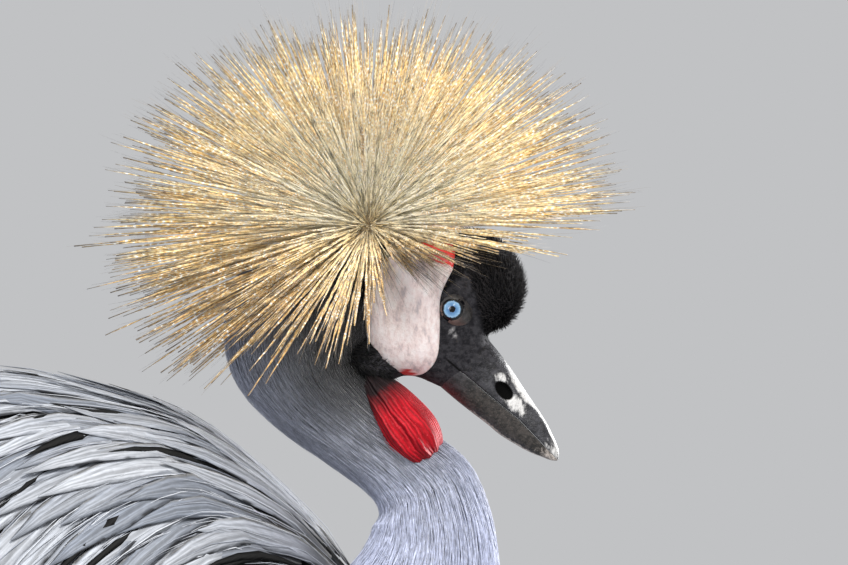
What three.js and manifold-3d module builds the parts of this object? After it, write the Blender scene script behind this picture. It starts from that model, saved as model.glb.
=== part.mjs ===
// Grey crowned crane at life size, as a still museum model: standing on both feet with the
// neck drawn back in its S, bill down, crown of stiff bristles spread. Millimetres, +Z up,
// the bird faces +X and its right side is -Y.
import * as THREE from "three";
import { mergeVertices } from "three/addons/utils/BufferGeometryUtils.js";
import Module from "manifold-3d";

const wasm = await Module();
wasm.setup();

// Gap kept between nodes that meet face to face
const GAP = 0.3;
// Room left round a pad, whose coarse facets stray a little as it grows, and the least room
const PAD_ROOM = 0.5;
const LEAST_ROOM = 0.12;
const SIDES = { right: -1, left: 1 };
const UP = new THREE.Vector3(0, 0, 1);
const LEFTWARD = new THREE.Vector3(0, 1, 0);

// Stations are [x, y, z, half height, half width], from the front or top to the rear or foot.
// Head and bill: their own frame has the eyes' midpoint at 0, +X along the bill, +Z the crown.
const HEAD_AT = new THREE.Vector3(172.7, 0, 585.5);
const HEAD_PITCH = 48;
const HEAD = [
  [24, 0, -12.2, 14.6, 10.6],
  [12, 0, -12, 20, 14.2],
  [5, 0, -12.2, 26.2, 16.4],
  [-4, 0, -10, 32, 18.4],
  [-15, 0, -6, 34, 20],
  [-26, 0, -6, 28, 20.2],
  [-37, 0, -8.5, 19.5, 18],
  [-46, 0, -10, 13, 14],
  [-53, 0, -10, 6, 8],
];
const BILL = [
  [80.4, 0, -9.9, 0.6, 0.6],
  [78.5, 0, -9.8, 2.4, 1.5],
  [75.3, 0, -9.8, 4.1, 2.6],
  [70, 0, -10.3, 6.3, 3.6],
  [63.6, 0, -10.6, 8.3, 4.8],
  [55, 0, -11.2, 10.2, 6],
  [48, 0, -11.2, 11.2, 6.9],
  [32, 0, -11.5, 13.8, 9],
  [14, 0, -12.2, 15.4, 11.2],
];
const MOUTH_LINE = [
  [14, -16.6],
  [36, -13.7],
  [56, -10.6],
  [84, -9.7],
];
const MOUTH_GAP = 0.4;
const NOSTRIL = { at: [41.8, 6.6, -7.3], half: [4.2, 2.6, 1.9] };
const EYE = { radius: 6.3, halfSpan: 13.2 };
const LID = { radius: 5.6, tube: 1.2, halfSpan: 17.1 };
const CASQUE = { at: [-2, 0, 19.5], half: [25.5, 16.2, 20.5] };
const CHEEK_OUTLINE = [
  [-12, 11], [-6.5, -1], [3.5, -10], [12, -19.5], [12.6, -29], [5.5, -36], [-4, -40.5],
  [-15, -38], [-23, -32], [-29, -24], [-36, -12], [-28, 2],
];
const CHEEK_THICK = 1.5;

// Crown of bristles, spread round the occiput
const CREST = { at: [-52, 0, -2.5], dome: 14, sunk: 8, count: 156, upward: 98, outward: 121 };
const BRISTLE = { root: 0.85, tip: 0.42, spread: 0.05 };
const CREST_RIM = { front: 80, rear: 97, side: 21 };

const NECK = [
  [112, 0, 612, 15, 14],
  [109, 0, 602, 26, 21],
  [106, 0, 585, 32, 26],
  [106, 0, 566, 31, 26],
  [114.5, 0, 548.8, 24, 22],
  [132, 0, 532, 19.5, 18],
  [149, 0, 518.3, 18.5, 17.5],
  [160.1, 0, 507.2, 21.8, 19.5],
  [163.4, 0, 495, 25, 22.5],
  [164.3, 0, 483, 27.5, 25],
  [162, 0, 468, 32, 30],
  [156, 0, 446, 40, 38],
  [138, 0, 424, 49, 47],
  [108, 0, 408, 52, 50],
];
const NECK_CUTS = [0, 0.44, 0.69, 1];
const NECK_RINGS = [7, 5, 6];
const WATTLE = [
  [135, 0, 556, 4, 8],
  [141, 0, 550.5, 10, 15.5],
  [150, 0, 541, 13, 19.5],
  [159, 0, 531, 11.5, 18],
  [167, 0, 522, 4.5, 9],
];
const WATTLE_FOLDS = { count: 10, depth: 0.085 };

const TORSO = [
  [152, 0, 420, 18, 20],
  [135, 0, 422, 44, 40],
  [104, 0, 427, 71, 56],
  [62, 0, 436, 94, 68],
  [20, 0, 442, 102, 75],
  [-30, 0, 445, 107, 78],
  [-90, 0, 445, 99, 76],
  [-150, 0, 436, 78, 66],
  [-205, 0, 420, 51, 48],
  [-250, 0, 402, 24, 26],
];
const FEET = { x: -22, halfSpan: 48 };
const LEG = [
  [18, 0, 372, 12, 10],
  [-8, 0, 314, 8, 7],
  [-34, 0, 256, 6.2, 5.4],
  [-48, 0, 229, 7.4, 6.8],
  [-51, 0, 216, 9.6, 8.6],
  [-49, 0, 203, 7, 6.4],
  [-41, 0, 150, 5.2, 4.6],
  [-30, 0, 70, 5.2, 4.6],
  [-24, 0, 24, 6.2, 5.8],
  [FEET.x, 0, 9, 8.4, 8.4],
];
const THIGH = [
  [34, 0, 408, 48, 27],
  [20, 0, 368, 42, 26],
  [4, 0, 338, 28, 20],
  [-9, 0, 311, 15, 13],
  [-15, 0, 297, 9, 8.4],
];
const SHANK = { from: 0.11, to: 0.44, around: 8, rings: 5 };
const TARSUS = { from: 0.44, to: 1, around: 8, rings: 6 };
const HEEL_RADIUS = 8.6;
// heading is in degrees from straight ahead towards the other leg
const TOES = [
  { name: "middle", length: 82, heading: -3, thick: 4.8, claw: 13 },
  { name: "inner", length: 66, heading: 29, thick: 4.4, claw: 12 },
  { name: "outer", length: 69, heading: -37, thick: 4.4, claw: 12 },
  { name: "hind", length: 36, heading: 172, thick: 4, claw: 17 },
];

// Feathers. The folded wing is a pad on the torso's side: x and turn of its middle, its half
// length, half spread in degrees from the back, and thickness. Rows are tiers of vanes with
// their roots' x, first and last turn, number, length and width.
const WING = { x: -50, half: 158, turn: 72, spread: 48, thick: 15, edge: 0.55 };
const WING_TIERS = [
  { x: 46, turns: [84, 106], count: 2, length: 76, width: 29 },
  { x: -4, turns: [66, 108], count: 3, length: 88, width: 31 },
  { x: -54, turns: [50, 110], count: 4, length: 94, width: 31 },
  { x: -104, turns: [46, 106], count: 4, length: 98, width: 31 },
  { x: -146, turns: [50, 92], count: 3, length: 86, width: 27 },
];
const MANTLE = { x: 46, half: 88, turn: 0, spread: 58, thick: 3, edge: 0.5 };
const MANTLE_TIERS = [
  { x: 110, turns: [-46, 46], count: 4, length: 74, width: 19 },
  { x: 78, turns: [-54, 54], count: 6, length: 88, width: 21 },
  { x: 42, turns: [-54, 54], count: 6, length: 96, width: 23 },
  { x: 4, turns: [-46, 46], count: 6, length: 102, width: 23 },
];
const VANE = { thick: 1.1, sunk: 1.6, clear: 1.3, tilt: 0.06, fall: 0.42 };
const BREAST_TIERS = [
  { t: 0.04, turns: [90, 270], count: 5, length: 0.44, width: 16 },
  { t: 0.28, turns: [76, 284], count: 6, length: 0.44, width: 19 },
  { t: 0.5, turns: [86, 274], count: 6, length: 0.44, width: 20 },
];
const TAIL_STEP = 3.2;
// Long quills fan out of a root: each goes from one line to another, foremost first
const TERTIALS = {
  count: 5, width: 33, thick: 1.6, face: [22, 80],
  roots: [[-148, 19, 516], [-178, 58, 440]],
  middles: [[-246, 18, 478], [-250, 49, 408]],
  tips: [[-388, 17, 332], [-322, 38, 340]],
  core: [[-128, 40, 492, 34, 12], [-158, 42, 476, 33, 9], [-184, 42, 460, 20, 5]],
};
const PRIMARIES = {
  count: 4, width: 24, thick: 1.3, face: [90, 90],
  roots: [[-150, 51, 404], [-140, 62, 384]],
  middles: [[-236, 37, 376], [-214, 49, 360]],
  tips: [[-362, 18, 300], [-300, 30, 318]],
  core: [[-136, 60, 398, 15, 6], [-154, 57, 392, 15, 5], [-174, 54, 385, 9, 3]],
};
const TAIL = {
  count: 9, width: 22, thick: 1.2,
  roots: [[-236, 12, 410], [-236, 12, 410]],
  middles: [[-290, 22, 372], [-290, 22, 372]],
  tips: [[-352, 34, 318], [-352, 34, 318]],
  core: [[-226, 0, 408, 15, 20], [-246, 0, 398, 10, 20], [-268, 0, 384, 4, 16]],
};

const { degToRad, lerp, clamp } = THREE.MathUtils;

// Draws numbers from 0 to 1, the same ones in every run
function seeded(seed) {
  let state = seed >>> 0;
  return () => {
    state = (Math.imul(state, 1664525) + 1013904223) >>> 0;
    return state / 2 ** 32;
  };
}

// Solids
function solidOf(geometry) {
  const bare = new THREE.BufferGeometry();
  bare.setAttribute("position", geometry.getAttribute("position"));
  if (geometry.index) bare.setIndex(geometry.index);
  const merged = mergeVertices(bare, 1e-4);
  const corners = merged.index.array;
  const kept = [];
  for (let i = 0; i < corners.length; i += 3) {
    const [a, b, c] = [corners[i], corners[i + 1], corners[i + 2]];
    if (a !== b && b !== c && a !== c) kept.push(a, b, c);
  }
  const made = (triVerts) =>
    new wasm.Manifold(
      new wasm.Mesh({
        numProp: 3,
        vertProperties: merged.attributes.position.array,
        triVerts: new Uint32Array(triVerts),
      }),
    );
  const solid = made(kept);
  return solid.volume() < 0 ? made(kept.reverse()) : solid;
}

function geometryOf(solid) {
  const mesh = solid.getMesh();
  const points = new Float32Array(mesh.numVert * 3);
  for (let i = 0; i < mesh.numVert; i++) {
    points.set(mesh.vertProperties.subarray(i * mesh.numProp, i * mesh.numProp + 3), i * 3);
  }
  const geometry = new THREE.BufferGeometry();
  geometry.setAttribute("position", new THREE.BufferAttribute(points, 3));
  geometry.setIndex(new THREE.BufferAttribute(new Uint32Array(mesh.triVerts), 1));
  geometry.computeVertexNormals();
  return geometry;
}

const union = (solids) => wasm.Manifold.union(solids);

// The largest closed surface of a solid, which drops loose scraps and fills sealed hollows
const largest = (solid) =>
  solid.decompose().reduce((a, b) => (b.volume() > a.volume() ? b : a));

const cutBy = (solid, cutters) => largest(solid.subtract(union(cutters)));

// The room a solid takes: its parts grown by the gap, and never less than the least room
function roomOf(grown, solid) {
  const steps = [-LEAST_ROOM, LEAST_ROOM].map((step) => solid.translate([0, step, 0]));
  return union([grown, solid, ...steps]);
}

function ball(radius, at, half = [1, 1, 1], around = 12, rows = 8) {
  const geometry = new THREE.SphereGeometry(radius, around, rows);
  return solidOf(geometry.scale(...half).translate(...at));
}

const box = (size, at) => solidOf(new THREE.BoxGeometry(...size).translate(...at));

// A skin is the oval tube through its stations. turn is in radians from the dorsal line
// towards the left. Sections stand square to the spine, or upright and parallel.
function skinOf(stations, { side = LEFTWARD, upright = false, folds = null } = {}) {
  const centre = new THREE.CatmullRomCurve3(
    stations.map(([x, y, z]) => new THREE.Vector3(x, y, z)), false, "catmullrom", 0.5,
  );
  const radii = new THREE.CatmullRomCurve3(
    stations.map((s) => new THREE.Vector3(s[3], s[4], 0)), false, "catmullrom", 0.5,
  );
  return (t, turn, grow = 0) => {
    const along = centre.getTangent(t);
    const dorsal = upright ? UP.clone() : side.clone().cross(along).normalize();
    const across = upright ? side.clone() : along.clone().cross(dorsal).normalize();
    const size = radii.getPoint(t);
    const wave = folds ? 1 + folds.depth * Math.cos(folds.count * turn) : 1;
    const high = size.x * wave + grow;
    const wide = size.y * wave + grow;
    const middle = centre.getPoint(t);
    const point = middle
      .clone()
      .addScaledVector(dorsal, high * Math.cos(turn))
      .addScaledVector(across, wide * Math.sin(turn));
    const normal = new THREE.Vector3()
      .addScaledVector(dorsal, Math.cos(turn) / high)
      .addScaledVector(across, Math.sin(turn) / wide)
      .normalize();
    return { point, normal, along, middle };
  };
}

// The closed body of a skin between two places on its spine. grow moves its whole surface
// out, its flat ends too; endGrow moves the ends alone.
function bodyOf(skin, { around = 16, rings = 10, from = 0, to = 1, grow = 0, endGrow = grow }) {
  const shape = new THREE.SphereGeometry(1, around, rings + 1);
  const place = shape.getAttribute("position");
  const uv = shape.getAttribute("uv");
  for (let i = 0; i < place.count; i++) {
    const row = Math.round((1 - uv.getY(i)) * (rings + 1));
    const share = clamp((row - 1) / (rings - 1), 0, 1);
    const turn = (Math.round(uv.getX(i) * around) % around) * ((2 * Math.PI) / around);
    const at = skin(lerp(from, to, share), turn, grow);
    const spot = row === 0 || row === rings + 1 ? at.middle : at.point;
    if (share === 0) spot.addScaledVector(at.along, -endGrow);
    if (share === 1) spot.addScaledVector(at.along, endGrow);
    place.setXYZ(i, spot.x, spot.y, spot.z);
  }
  return solidOf(shape);
}

// A vane is a flat blade of lens section that swells from its root and tapers to its tip
const VANE_WIDTHS = [0.42, 0.95, 0.88, 0.14];
const VANE_THICKS = [1, 1, 0.8, 0.4];
function vane(points, side, width, thick, grow) {
  const stations = points.map((p, i) => [
    p.x, p.y, p.z, (VANE_THICKS[i] * thick) / 2, (VANE_WIDTHS[i] * width) / 2,
  ]);
  return bodyOf(skinOf(stations, { side }), { around: 4, rings: 3, grow });
}

// Skins of the parts
const headMatrix = new THREE.Matrix4().compose(
  HEAD_AT,
  new THREE.Quaternion().setFromAxisAngle(LEFTWARD, degToRad(HEAD_PITCH)),
  new THREE.Vector3(1, 1, 1),
);
const fromHead = (solid) => solid.transform(headMatrix.elements);
const torsoSkin = skinOf(TORSO, { upright: true });
const neckSkin = skinOf(NECK);
const headSkin = skinOf(HEAD, { upright: true });
const billSkin = skinOf(BILL, { upright: true });
const wattleSkin = skinOf(WATTLE, { folds: WATTLE_FOLDS });
const atSide = (stations, side) =>
  stations.map(([x, y, z, high, wide]) => [x, y + side * FEET.halfSpan, z, high, wide]);

const torsoCore = (grow) => bodyOf(torsoSkin, { around: 18, rings: 12, grow });
const headCore = (grow) => bodyOf(headSkin, { around: 16, rings: 10, grow });

// The torso's spine runs at the share t where its x is the one asked for
function torsoShare(x) {
  let [low, high] = [0, 1];
  for (let step = 0; step < 20; step++) {
    const middle = (low + high) / 2;
    if (torsoSkin(middle, 0).middle.x > x) low = middle;
    else high = middle;
  }
  return (low + high) / 2;
}

// A pad is an oval cushion on the torso, and its rise at a place there is 0 at its rim
function padRise({ x, half, turn, spread, thick, edge }, side, atX, atTurn) {
  const u = (atX - x) / half;
  const v = (THREE.MathUtils.radToDeg(atTurn) * side - turn) / spread;
  const inside = 1 - u * u - v * v;
  return inside > 0 ? thick * inside ** edge : 0;
}

function padBody(pad, side, under, { around, rows, grow }) {
  const shape = new THREE.SphereGeometry(1, around, rows);
  const place = shape.getAttribute("position");
  for (let i = 0; i < place.count; i++) {
    const x = pad.x + (pad.half + grow) * place.getX(i);
    const spread = degToRad(pad.spread) + grow / PAD_ROUND;
    const turn = side * (degToRad(pad.turn) + spread * place.getZ(i));
    const at = torsoSkin(torsoShare(x), turn);
    const rise = place.getY(i);
    const base = under(x, turn);
    const height = rise > 0
      ? base + pad.thick * (rise * rise) ** pad.edge + grow
      : base - PAD_DEPTH * Math.abs(rise) - grow;
    const spot = at.point.addScaledVector(at.normal, height);
    place.setXYZ(i, spot.x, spot.y, spot.z);
  }
  return solidOf(shape);
}
// How deep a pad reaches into the torso, and the torso's least radius where pads end
const PAD_DEPTH = 5;
const PAD_ROUND = 45;

// Vanes in tiers on the torso: each lies on whatever is under it, its root sunk and its tip
// lifted, and sweeps down the side as it goes back
function tierVanes(tiers, side, under, { fall, sign, grow, seed }) {
  const random = seeded(seed);
  const vanes = [];
  for (const { x, turns, count, length, width } of tiers) {
    for (let i = 0; i < count; i++) {
      const share = count > 1 ? i / (count - 1) : 0;
      const turn = side * degToRad(lerp(turns[0], turns[1], share));
      const reach = length * (0.94 + 0.12 * random());
      const rootX = x + 5 * (random() - 0.5);
      const lean = fall * (0.85 + 0.3 * random());
      const sweep = sign === 0 ? lean * Math.sin(turn) : side * lean;
      const spots = [0, 1 / 3, 2 / 3, 1].map((s) => {
        const atX = Math.max(rootX - reach * Math.cos(lean) * s, TORSO.at(-1)[0] + 4);
        const station = torsoSkin(torsoShare(atX), turn);
        const round = Math.hypot(station.point.y, station.point.z - station.middle.z);
        const atTurn = turn + (sweep * reach * s) / round;
        const at = torsoSkin(torsoShare(atX), atTurn);
        const lift = s === 0 ? -VANE.sunk : VANE.clear + VANE.tilt * reach * s;
        return at.point.clone().addScaledVector(at.normal, under(atX, atTurn) + lift);
      });
      const at = torsoSkin(torsoShare(rootX - reach / 2), turn + (sweep * reach * 0.5) / 80);
      const way = spots[3].clone().sub(spots[0]).normalize();
      const across = way.clone().cross(at.normal).normalize();
      vanes.push(vane(spots, across, width, VANE.thick, grow));
    }
  }
  return vanes;
}

// A fan of quills: the roots, middles and tips each lie along a line, the fan's first quill
// at its start, and each quill lies on the outer side of the next
function quillVanes(fan, side, { grow, seed, flat }) {
  const { count, width, thick, roots, middles, tips, face } = fan;
  const random = seeded(seed);
  const spot = (line, share, y) => new THREE.Vector3(
    lerp(line[0][0], line[1][0], share),
    y ?? side * lerp(line[0][1], line[1][1], share),
    lerp(line[0][2], line[1][2], share),
  );
  return Array.from({ length: count }, (_, i) => {
    const share = i / (count - 1);
    const across = 2 * share - 1;
    const place = (line) => (flat ? spot(line, 0, across * line[0][1]) : spot(line, share));
    const root = place(roots);
    const middle = place(middles);
    const tip = place(tips);
    if (flat) {
      const drop = TAIL_STEP * (Math.abs(i - (count - 1) / 2) + (across > 0 ? 0.5 : 0));
      root.z -= 0.4 * drop;
      middle.z -= drop;
      tip.z -= drop * 1.4;
      tip.x += 12 * across * across;
    }
    tip.x += 6 * (random() - 0.5);
    const line = new THREE.QuadraticBezierCurve3(
      root, middle.clone().multiplyScalar(2).sub(root.clone().add(tip).multiplyScalar(0.5)), tip,
    );
    const spots = [0, 1 / 3, 2 / 3, 1].map((s) => line.getPoint(s));
    const way = tip.clone().sub(root).normalize();
    const facing = flat ? 0 : degToRad(lerp(face[0], face[1], share));
    const outward = new THREE.Vector3(0, side * Math.sin(facing), Math.cos(facing));
    const blade = flat
      ? LEFTWARD.clone()
      : way.cross(outward);
    return vane(spots, blade.normalize(), width, thick, grow);
  });
}

const quillFan = (fan, side, grow, options = {}) => union([
  bodyOf(skinOf(fan.core.map(([x, y, z, high, wide]) => [x, side * y, z, high, wide])),
    { around: 10, rings: 4, grow }),
  ...quillVanes(fan, side, { grow, seed: 11, ...options }),
]);

// Head parts, in the head's frame
const eyeBall = (side, grow) =>
  ball(EYE.radius + grow, [0, side * EYE.halfSpan, 0], [1, 1, 1], 12, 6);

function lidRing(side, grow) {
  const ring = new THREE.TorusGeometry(LID.radius, LID.tube + grow, 5, 10);
  return solidOf(ring.rotateX(Math.PI / 2).translate(0, side * LID.halfSpan, 0));
}

function headSolid() {
  const mouthSlot = box([10, 60, MOUTH_GAP], [20, 0, -16]);
  return cutBy(union([headCore(0), lidRing(-1, 0), lidRing(1, 0)]), [
    eyeBall(-1, GAP), eyeBall(1, GAP), mouthSlot,
  ]);
}

const casqueBody = (grow) =>
  ball(1, CASQUE.at, CASQUE.half.map((half) => half + grow), 14, 9);

function cheekSolid(side) {
  const outline = new THREE.SplineCurve(
    [...CHEEK_OUTLINE, CHEEK_OUTLINE[0]].map(([x, z]) => new THREE.Vector2(x, z)),
  ).getPoints(13);
  const block = new THREE.ExtrudeGeometry(new THREE.Shape(outline.slice(0, -1)), {
    depth: 30, bevelEnabled: false,
  }).rotateX(Math.PI / 2);
  const patch = solidOf(block.translate(0, side > 0 ? 33 : -3, 0));
  return cutBy(patch.intersect(headCore(CHEEK_THICK + GAP)), [
    headCore(GAP), eyeBall(side, GAP), lidRing(side, GAP), casqueBody(GAP),
  ]);
}

// Bill: one body, parted along the line of the mouth
function belowMouth(shift) {
  const shape = new THREE.Shape(MOUTH_LINE.map(([x, z]) => new THREE.Vector2(x, z + shift)));
  shape.lineTo(84, -50);
  shape.lineTo(14, -50);
  const slab = new THREE.ExtrudeGeometry(shape, { depth: 60, bevelEnabled: false });
  return solidOf(slab.rotateX(Math.PI / 2).translate(0, 30, 0));
}

function billSolids() {
  const whole = cutBy(bodyOf(billSkin, { around: 14, rings: 9 }), [headCore(GAP)]);
  const nostrils = [-1, 1].map((side) => {
    const [x, y, z] = NOSTRIL.at;
    return ball(1, [x, side * y, z], NOSTRIL.half, 8, 6);
  });
  return {
    upper: cutBy(whole, [belowMouth(MOUTH_GAP / 2), ...nostrils]),
    lower: largest(whole.intersect(belowMouth(-MOUTH_GAP / 2))),
  };
}

// Crown: straight tapering bristles, evenly spread from the top down to a rim that is lowest
// at the sides, all pointing away from the middle so that none crosses another
const crestCentre = new THREE.Vector3(...CREST.at).applyMatrix4(headMatrix);
const crestDome = (grow) => ball(CREST.dome + grow, crestCentre.toArray(), [1, 1, 1], 12, 7);

function bristleWays() {
  const golden = Math.PI * (3 - Math.sqrt(5));
  const random = seeded(5);
  const lowest = Math.cos(degToRad(CREST_RIM.rear + CREST_RIM.side));
  const ways = [];
  const tried = Math.round(CREST.count * 1.22);
  for (let i = 0; i < tried; i++) {
    const tall = lerp(0.995, lowest, i / (tried - 1));
    const heading = i * golden + 0.12 * (random() - 0.5);
    const ahead = (1 + Math.cos(heading)) / 2;
    const rim = lerp(CREST_RIM.rear, CREST_RIM.front, ahead)
      + CREST_RIM.side * Math.sin(heading) ** 2;
    if (tall < Math.cos(degToRad(rim))) continue;
    const flat = Math.sqrt(1 - tall * tall);
    ways.push(new THREE.Vector3(flat * Math.cos(heading), flat * Math.sin(heading), tall));
  }
  return ways;
}

function crestSolid(cutters) {
  const random = seeded(7);
  const bristles = bristleWays().map((way) => {
    const level = 1 - way.z * way.z;
    const length = lerp(CREST.upward, CREST.outward, level) * (1 - BRISTLE.spread * random());
    const side = new THREE.Vector3(-way.y, way.x, 0.01).normalize();
    const spot = (reach, radius) => [
      ...crestCentre.clone().addScaledVector(way, reach).toArray(), radius, radius,
    ];
    const skin = skinOf([spot(CREST.sunk, BRISTLE.root), spot(length, BRISTLE.tip)], { side });
    return bodyOf(skin, { around: 3, rings: 2 });
  });
  return cutBy(union([crestDome(0), ...bristles]), cutters);
}

// Neck, wattle and breast plumes
const neckLength = (i, grow, endGrow = -GAP / 2) => bodyOf(neckSkin, {
  around: 14, rings: NECK_RINGS[i], from: NECK_CUTS[i], to: NECK_CUTS[i + 1], grow, endGrow,
});
const wattleBody = (grow) => bodyOf(wattleSkin, { around: 30, rings: 5, grow });

function breastPlumes() {
  const random = seeded(23);
  const vanes = [];
  BREAST_TIERS.forEach(({ t, turns, count, length, width }, row) => {
    for (let i = 0; i < count; i++) {
      const turn = degToRad(lerp(turns[0], turns[1], (i + 0.5 * (row % 2)) / count + 0.03));
      const reach = length * (0.92 + 0.16 * random());
      const spots = [0, 1 / 3, 2 / 3, 1].map((s) => {
        const along = Math.min(t + reach * s, 1);
        const at = neckSkin(lerp(NECK_CUTS[2], NECK_CUTS[3], along), turn);
        const lift = s === 0 ? -VANE.sunk : VANE.thick / 2 + 6.5 * s;
        return at.point.clone().addScaledVector(at.normal, lift);
      });
      const at = neckSkin(lerp(NECK_CUTS[2], NECK_CUTS[3], t + reach / 2), turn);
      const way = spots[3].clone().sub(spots[0]).normalize();
      vanes.push(vane(spots, way.cross(at.normal).normalize(), width, VANE.thick, 0));
    }
  });
  return vanes;
}

// Legs
const legPart = (side, part, grow = 0, endGrow = -GAP / 2) =>
  bodyOf(skinOf(atSide(LEG, side)), { ...part, grow, endGrow });
const thighBody = (side, grow) =>
  bodyOf(skinOf(atSide(THIGH, side)), { around: 14, rings: 6, grow });
const belowFloor = box([900, 600, 40], [0, 0, -20]);
const heel = (side, grow) =>
  ball(HEEL_RADIUS + grow, [FEET.x, side * FEET.halfSpan, 8], [1, 1, 1], 8, 6);

const tarsusSolid = (side) => cutBy(union([legPart(side, TARSUS), heel(side, 0)]), [belowFloor]);

// A toe and its claw lie along one line on the floor
function toeLine(side, heading) {
  const way = new THREE.Vector3(1, 0, 0).applyAxisAngle(UP, -side * degToRad(heading));
  const across = UP.clone().cross(way);
  const station = (reach, height, high, wide) => [
    FEET.x + way.x * reach, side * FEET.halfSpan + way.y * reach, height, high, wide,
  ];
  return { station, across };
}

function toeBody(side, { length, heading, thick }, grow) {
  const { station, across } = toeLine(side, heading);
  return bodyOf(skinOf([
    station(0, 7, thick * 1.15, thick * 1.1),
    station(0.25 * length, thick * 0.92, thick, thick),
    station(0.6 * length, thick * 0.78, thick * 0.9, thick * 0.9),
    station(length, thick * 0.62, thick * 0.74, thick * 0.74),
  ], { side: across }), { around: 6, rings: 4, grow });
}

function clawSolid(side, { length, heading, thick, claw }) {
  const { station, across } = toeLine(side, heading);
  return cutBy(bodyOf(skinOf([
    station(length + GAP, thick * 0.66, thick * 0.6, thick * 0.48),
    station(length + claw * 0.5, thick * 0.72, thick * 0.45, thick * 0.36),
    station(length + claw * 0.85, thick * 0.4, thick * 0.2, thick * 0.16),
    station(length + claw, 0.9, 0.4, 0.32),
  ], { side: across }), { around: 5, rings: 3 }), [belowFloor]);
}

// Materials: [colour, roughness]
const MATERIALS = {
  crest: [0xd9b56a, 0.6],
  velvet: [0x0c0b0d, 0.9],
  skull: [0x1b1a1f, 0.75],
  cheek: [0xe9e2e0, 0.6],
  iris: [0x86aedb, 0.15],
  bill: [0x2b2a2c, 0.4],
  wattle: [0xb3121f, 0.5],
  neck: [0x8d95a8, 0.85],
  body: [0x70757f, 0.85],
  wing: [0xdfe2e4, 0.8],
  tertial: [0x4a2318, 0.75],
  flight: [0x16161a, 0.7],
  leg: [0x1d1c1f, 0.55],
  claw: [0x0f0f10, 0.35],
};

const bird = new THREE.Group();
const head = new THREE.Group();
head.position.copy(HEAD_AT);
head.rotation.y = degToRad(HEAD_PITCH);
bird.add(head);

function add(group, name, solid, materialName) {
  const [color, roughness] = MATERIALS[materialName];
  const look = new THREE.MeshStandardMaterial({ color, roughness, metalness: 0 });
  const mesh = new THREE.Mesh(geometryOf(solid), look);
  mesh.name = name;
  group.add(mesh);
}

// Head
const bill = billSolids();
const cheeks = Object.values(SIDES).map((side) => cheekSolid(side));
const crestRoom = crestDome(GAP);
const intoHead = (solid) => solid.transform(headMatrix.clone().invert().elements);
add(head, "head", cutBy(headSolid(), [intoHead(crestRoom)]), "skull");
add(head, "casque", cutBy(casqueBody(0), [headCore(GAP), intoHead(crestRoom)]), "velvet");
add(head, "bill_upper", bill.upper, "bill");
add(head, "bill_lower", bill.lower, "bill");
Object.entries(SIDES).forEach(([name, side], i) => {
  add(head, `eye_${name}`, eyeBall(side, 0), "iris");
  add(head, `cheek_${name}`, cutBy(cheeks[i], [intoHead(crestRoom)]), "cheek");
});
const headRoom = union([
  headCore(GAP), headCore(CHEEK_THICK + 2 * GAP).subtract(box([160, 7, 160], [0, 0, 0])),
]);
const casqueRoom = fromHead(casqueBody(GAP));
add(bird, "crest", crestSolid([casqueRoom]), "crest");

// Neck
const headInBird = fromHead(headRoom);
const wattleRoom = wattleBody(GAP);
add(bird, "wattle", cutBy(wattleBody(0), [headInBird]), "wattle");
add(bird, "neck_upper", cutBy(neckLength(0, 0), [headInBird, crestRoom, wattleRoom]), "neck");
add(bird, "neck_middle", cutBy(neckLength(1, 0), [wattleRoom]), "neck");
const torsoRoom = torsoCore(GAP);
add(bird, "torso", torsoCore(0), "body");
add(bird, "neck_base", cutBy(union([neckLength(2, 0), ...breastPlumes()]), [
  torsoRoom, neckLength(1, GAP, GAP / 2),
]), "neck");

// Wings, each with its coverts in tiers, and the mantle that hangs over them
const flush = () => 0;
const wingParts = (side, grow) => union([
  padBody(WING, side, flush, { around: 18, rows: 8, grow }),
  ...tierVanes(WING_TIERS, side, (x, turn) => padRise(WING, side, x, turn),
    { fall: VANE.fall * 0.5, sign: 1, grow, seed: 31 }),
]);
const wingRooms = {};
for (const [name, side] of Object.entries(SIDES)) {
  const wing = cutBy(wingParts(side, 0), [torsoRoom]);
  add(bird, `wing_${name}`, wing, "wing");
  wingRooms[name] = roomOf(wingParts(side, PAD_ROOM), wing);
}
const overWings = (x, turn) => padRise(WING, Math.sign(turn) || 1, x, turn) + 1;
add(bird, "mantle", cutBy(union([
  padBody(MANTLE, 1, overWings, { around: 18, rows: 8, grow: 0 }),
  ...tierVanes(MANTLE_TIERS, 1, (x, turn) => overWings(x, turn) + padRise(MANTLE, 1, x, turn),
    { fall: VANE.fall, sign: 0, grow: 0, seed: 47 }),
]), [torsoRoom, neckLength(2, GAP), ...Object.values(wingRooms)]), "wing");

// Tail, long quills and legs
const tail = cutBy(quillFan(TAIL, 1, 0, { flat: true }), [torsoRoom]);
const tailRoom = quillFan(TAIL, 1, GAP, { flat: true });
add(bird, "tail", tail, "flight");
for (const [name, side] of Object.entries(SIDES)) {
  const wingRoom = wingRooms[name];
  const tertials = cutBy(quillFan(TERTIALS, side, 0), [torsoRoom, wingRoom, tailRoom]);
  add(bird, `tertials_${name}`, tertials, "tertial");
  add(bird, `primaries_${name}`, cutBy(quillFan(PRIMARIES, side, 0), [
    torsoRoom, wingRoom, tailRoom, quillFan(TERTIALS, side, GAP),
  ]), "flight");
  add(bird, `thigh_${name}`, cutBy(thighBody(side, 0), [
    torsoRoom, wingRoom, quillFan(PRIMARIES, side, GAP),
  ]), "body");
  add(bird, `shank_${name}`, cutBy(legPart(side, SHANK), [thighBody(side, GAP)]), "leg");
  add(bird, `tarsus_${name}`, tarsusSolid(side), "leg");
  const taken = [belowFloor, legPart(side, TARSUS, GAP, GAP), heel(side, GAP)];
  for (const toe of TOES) {
    add(bird, `toe_${toe.name}_${name}`, cutBy(toeBody(side, toe, 0), taken), "leg");
    taken.push(toeBody(side, toe, GAP));
    add(bird, `claw_${toe.name}_${name}`, clawSolid(side, toe), "claw");
  }
}

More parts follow.
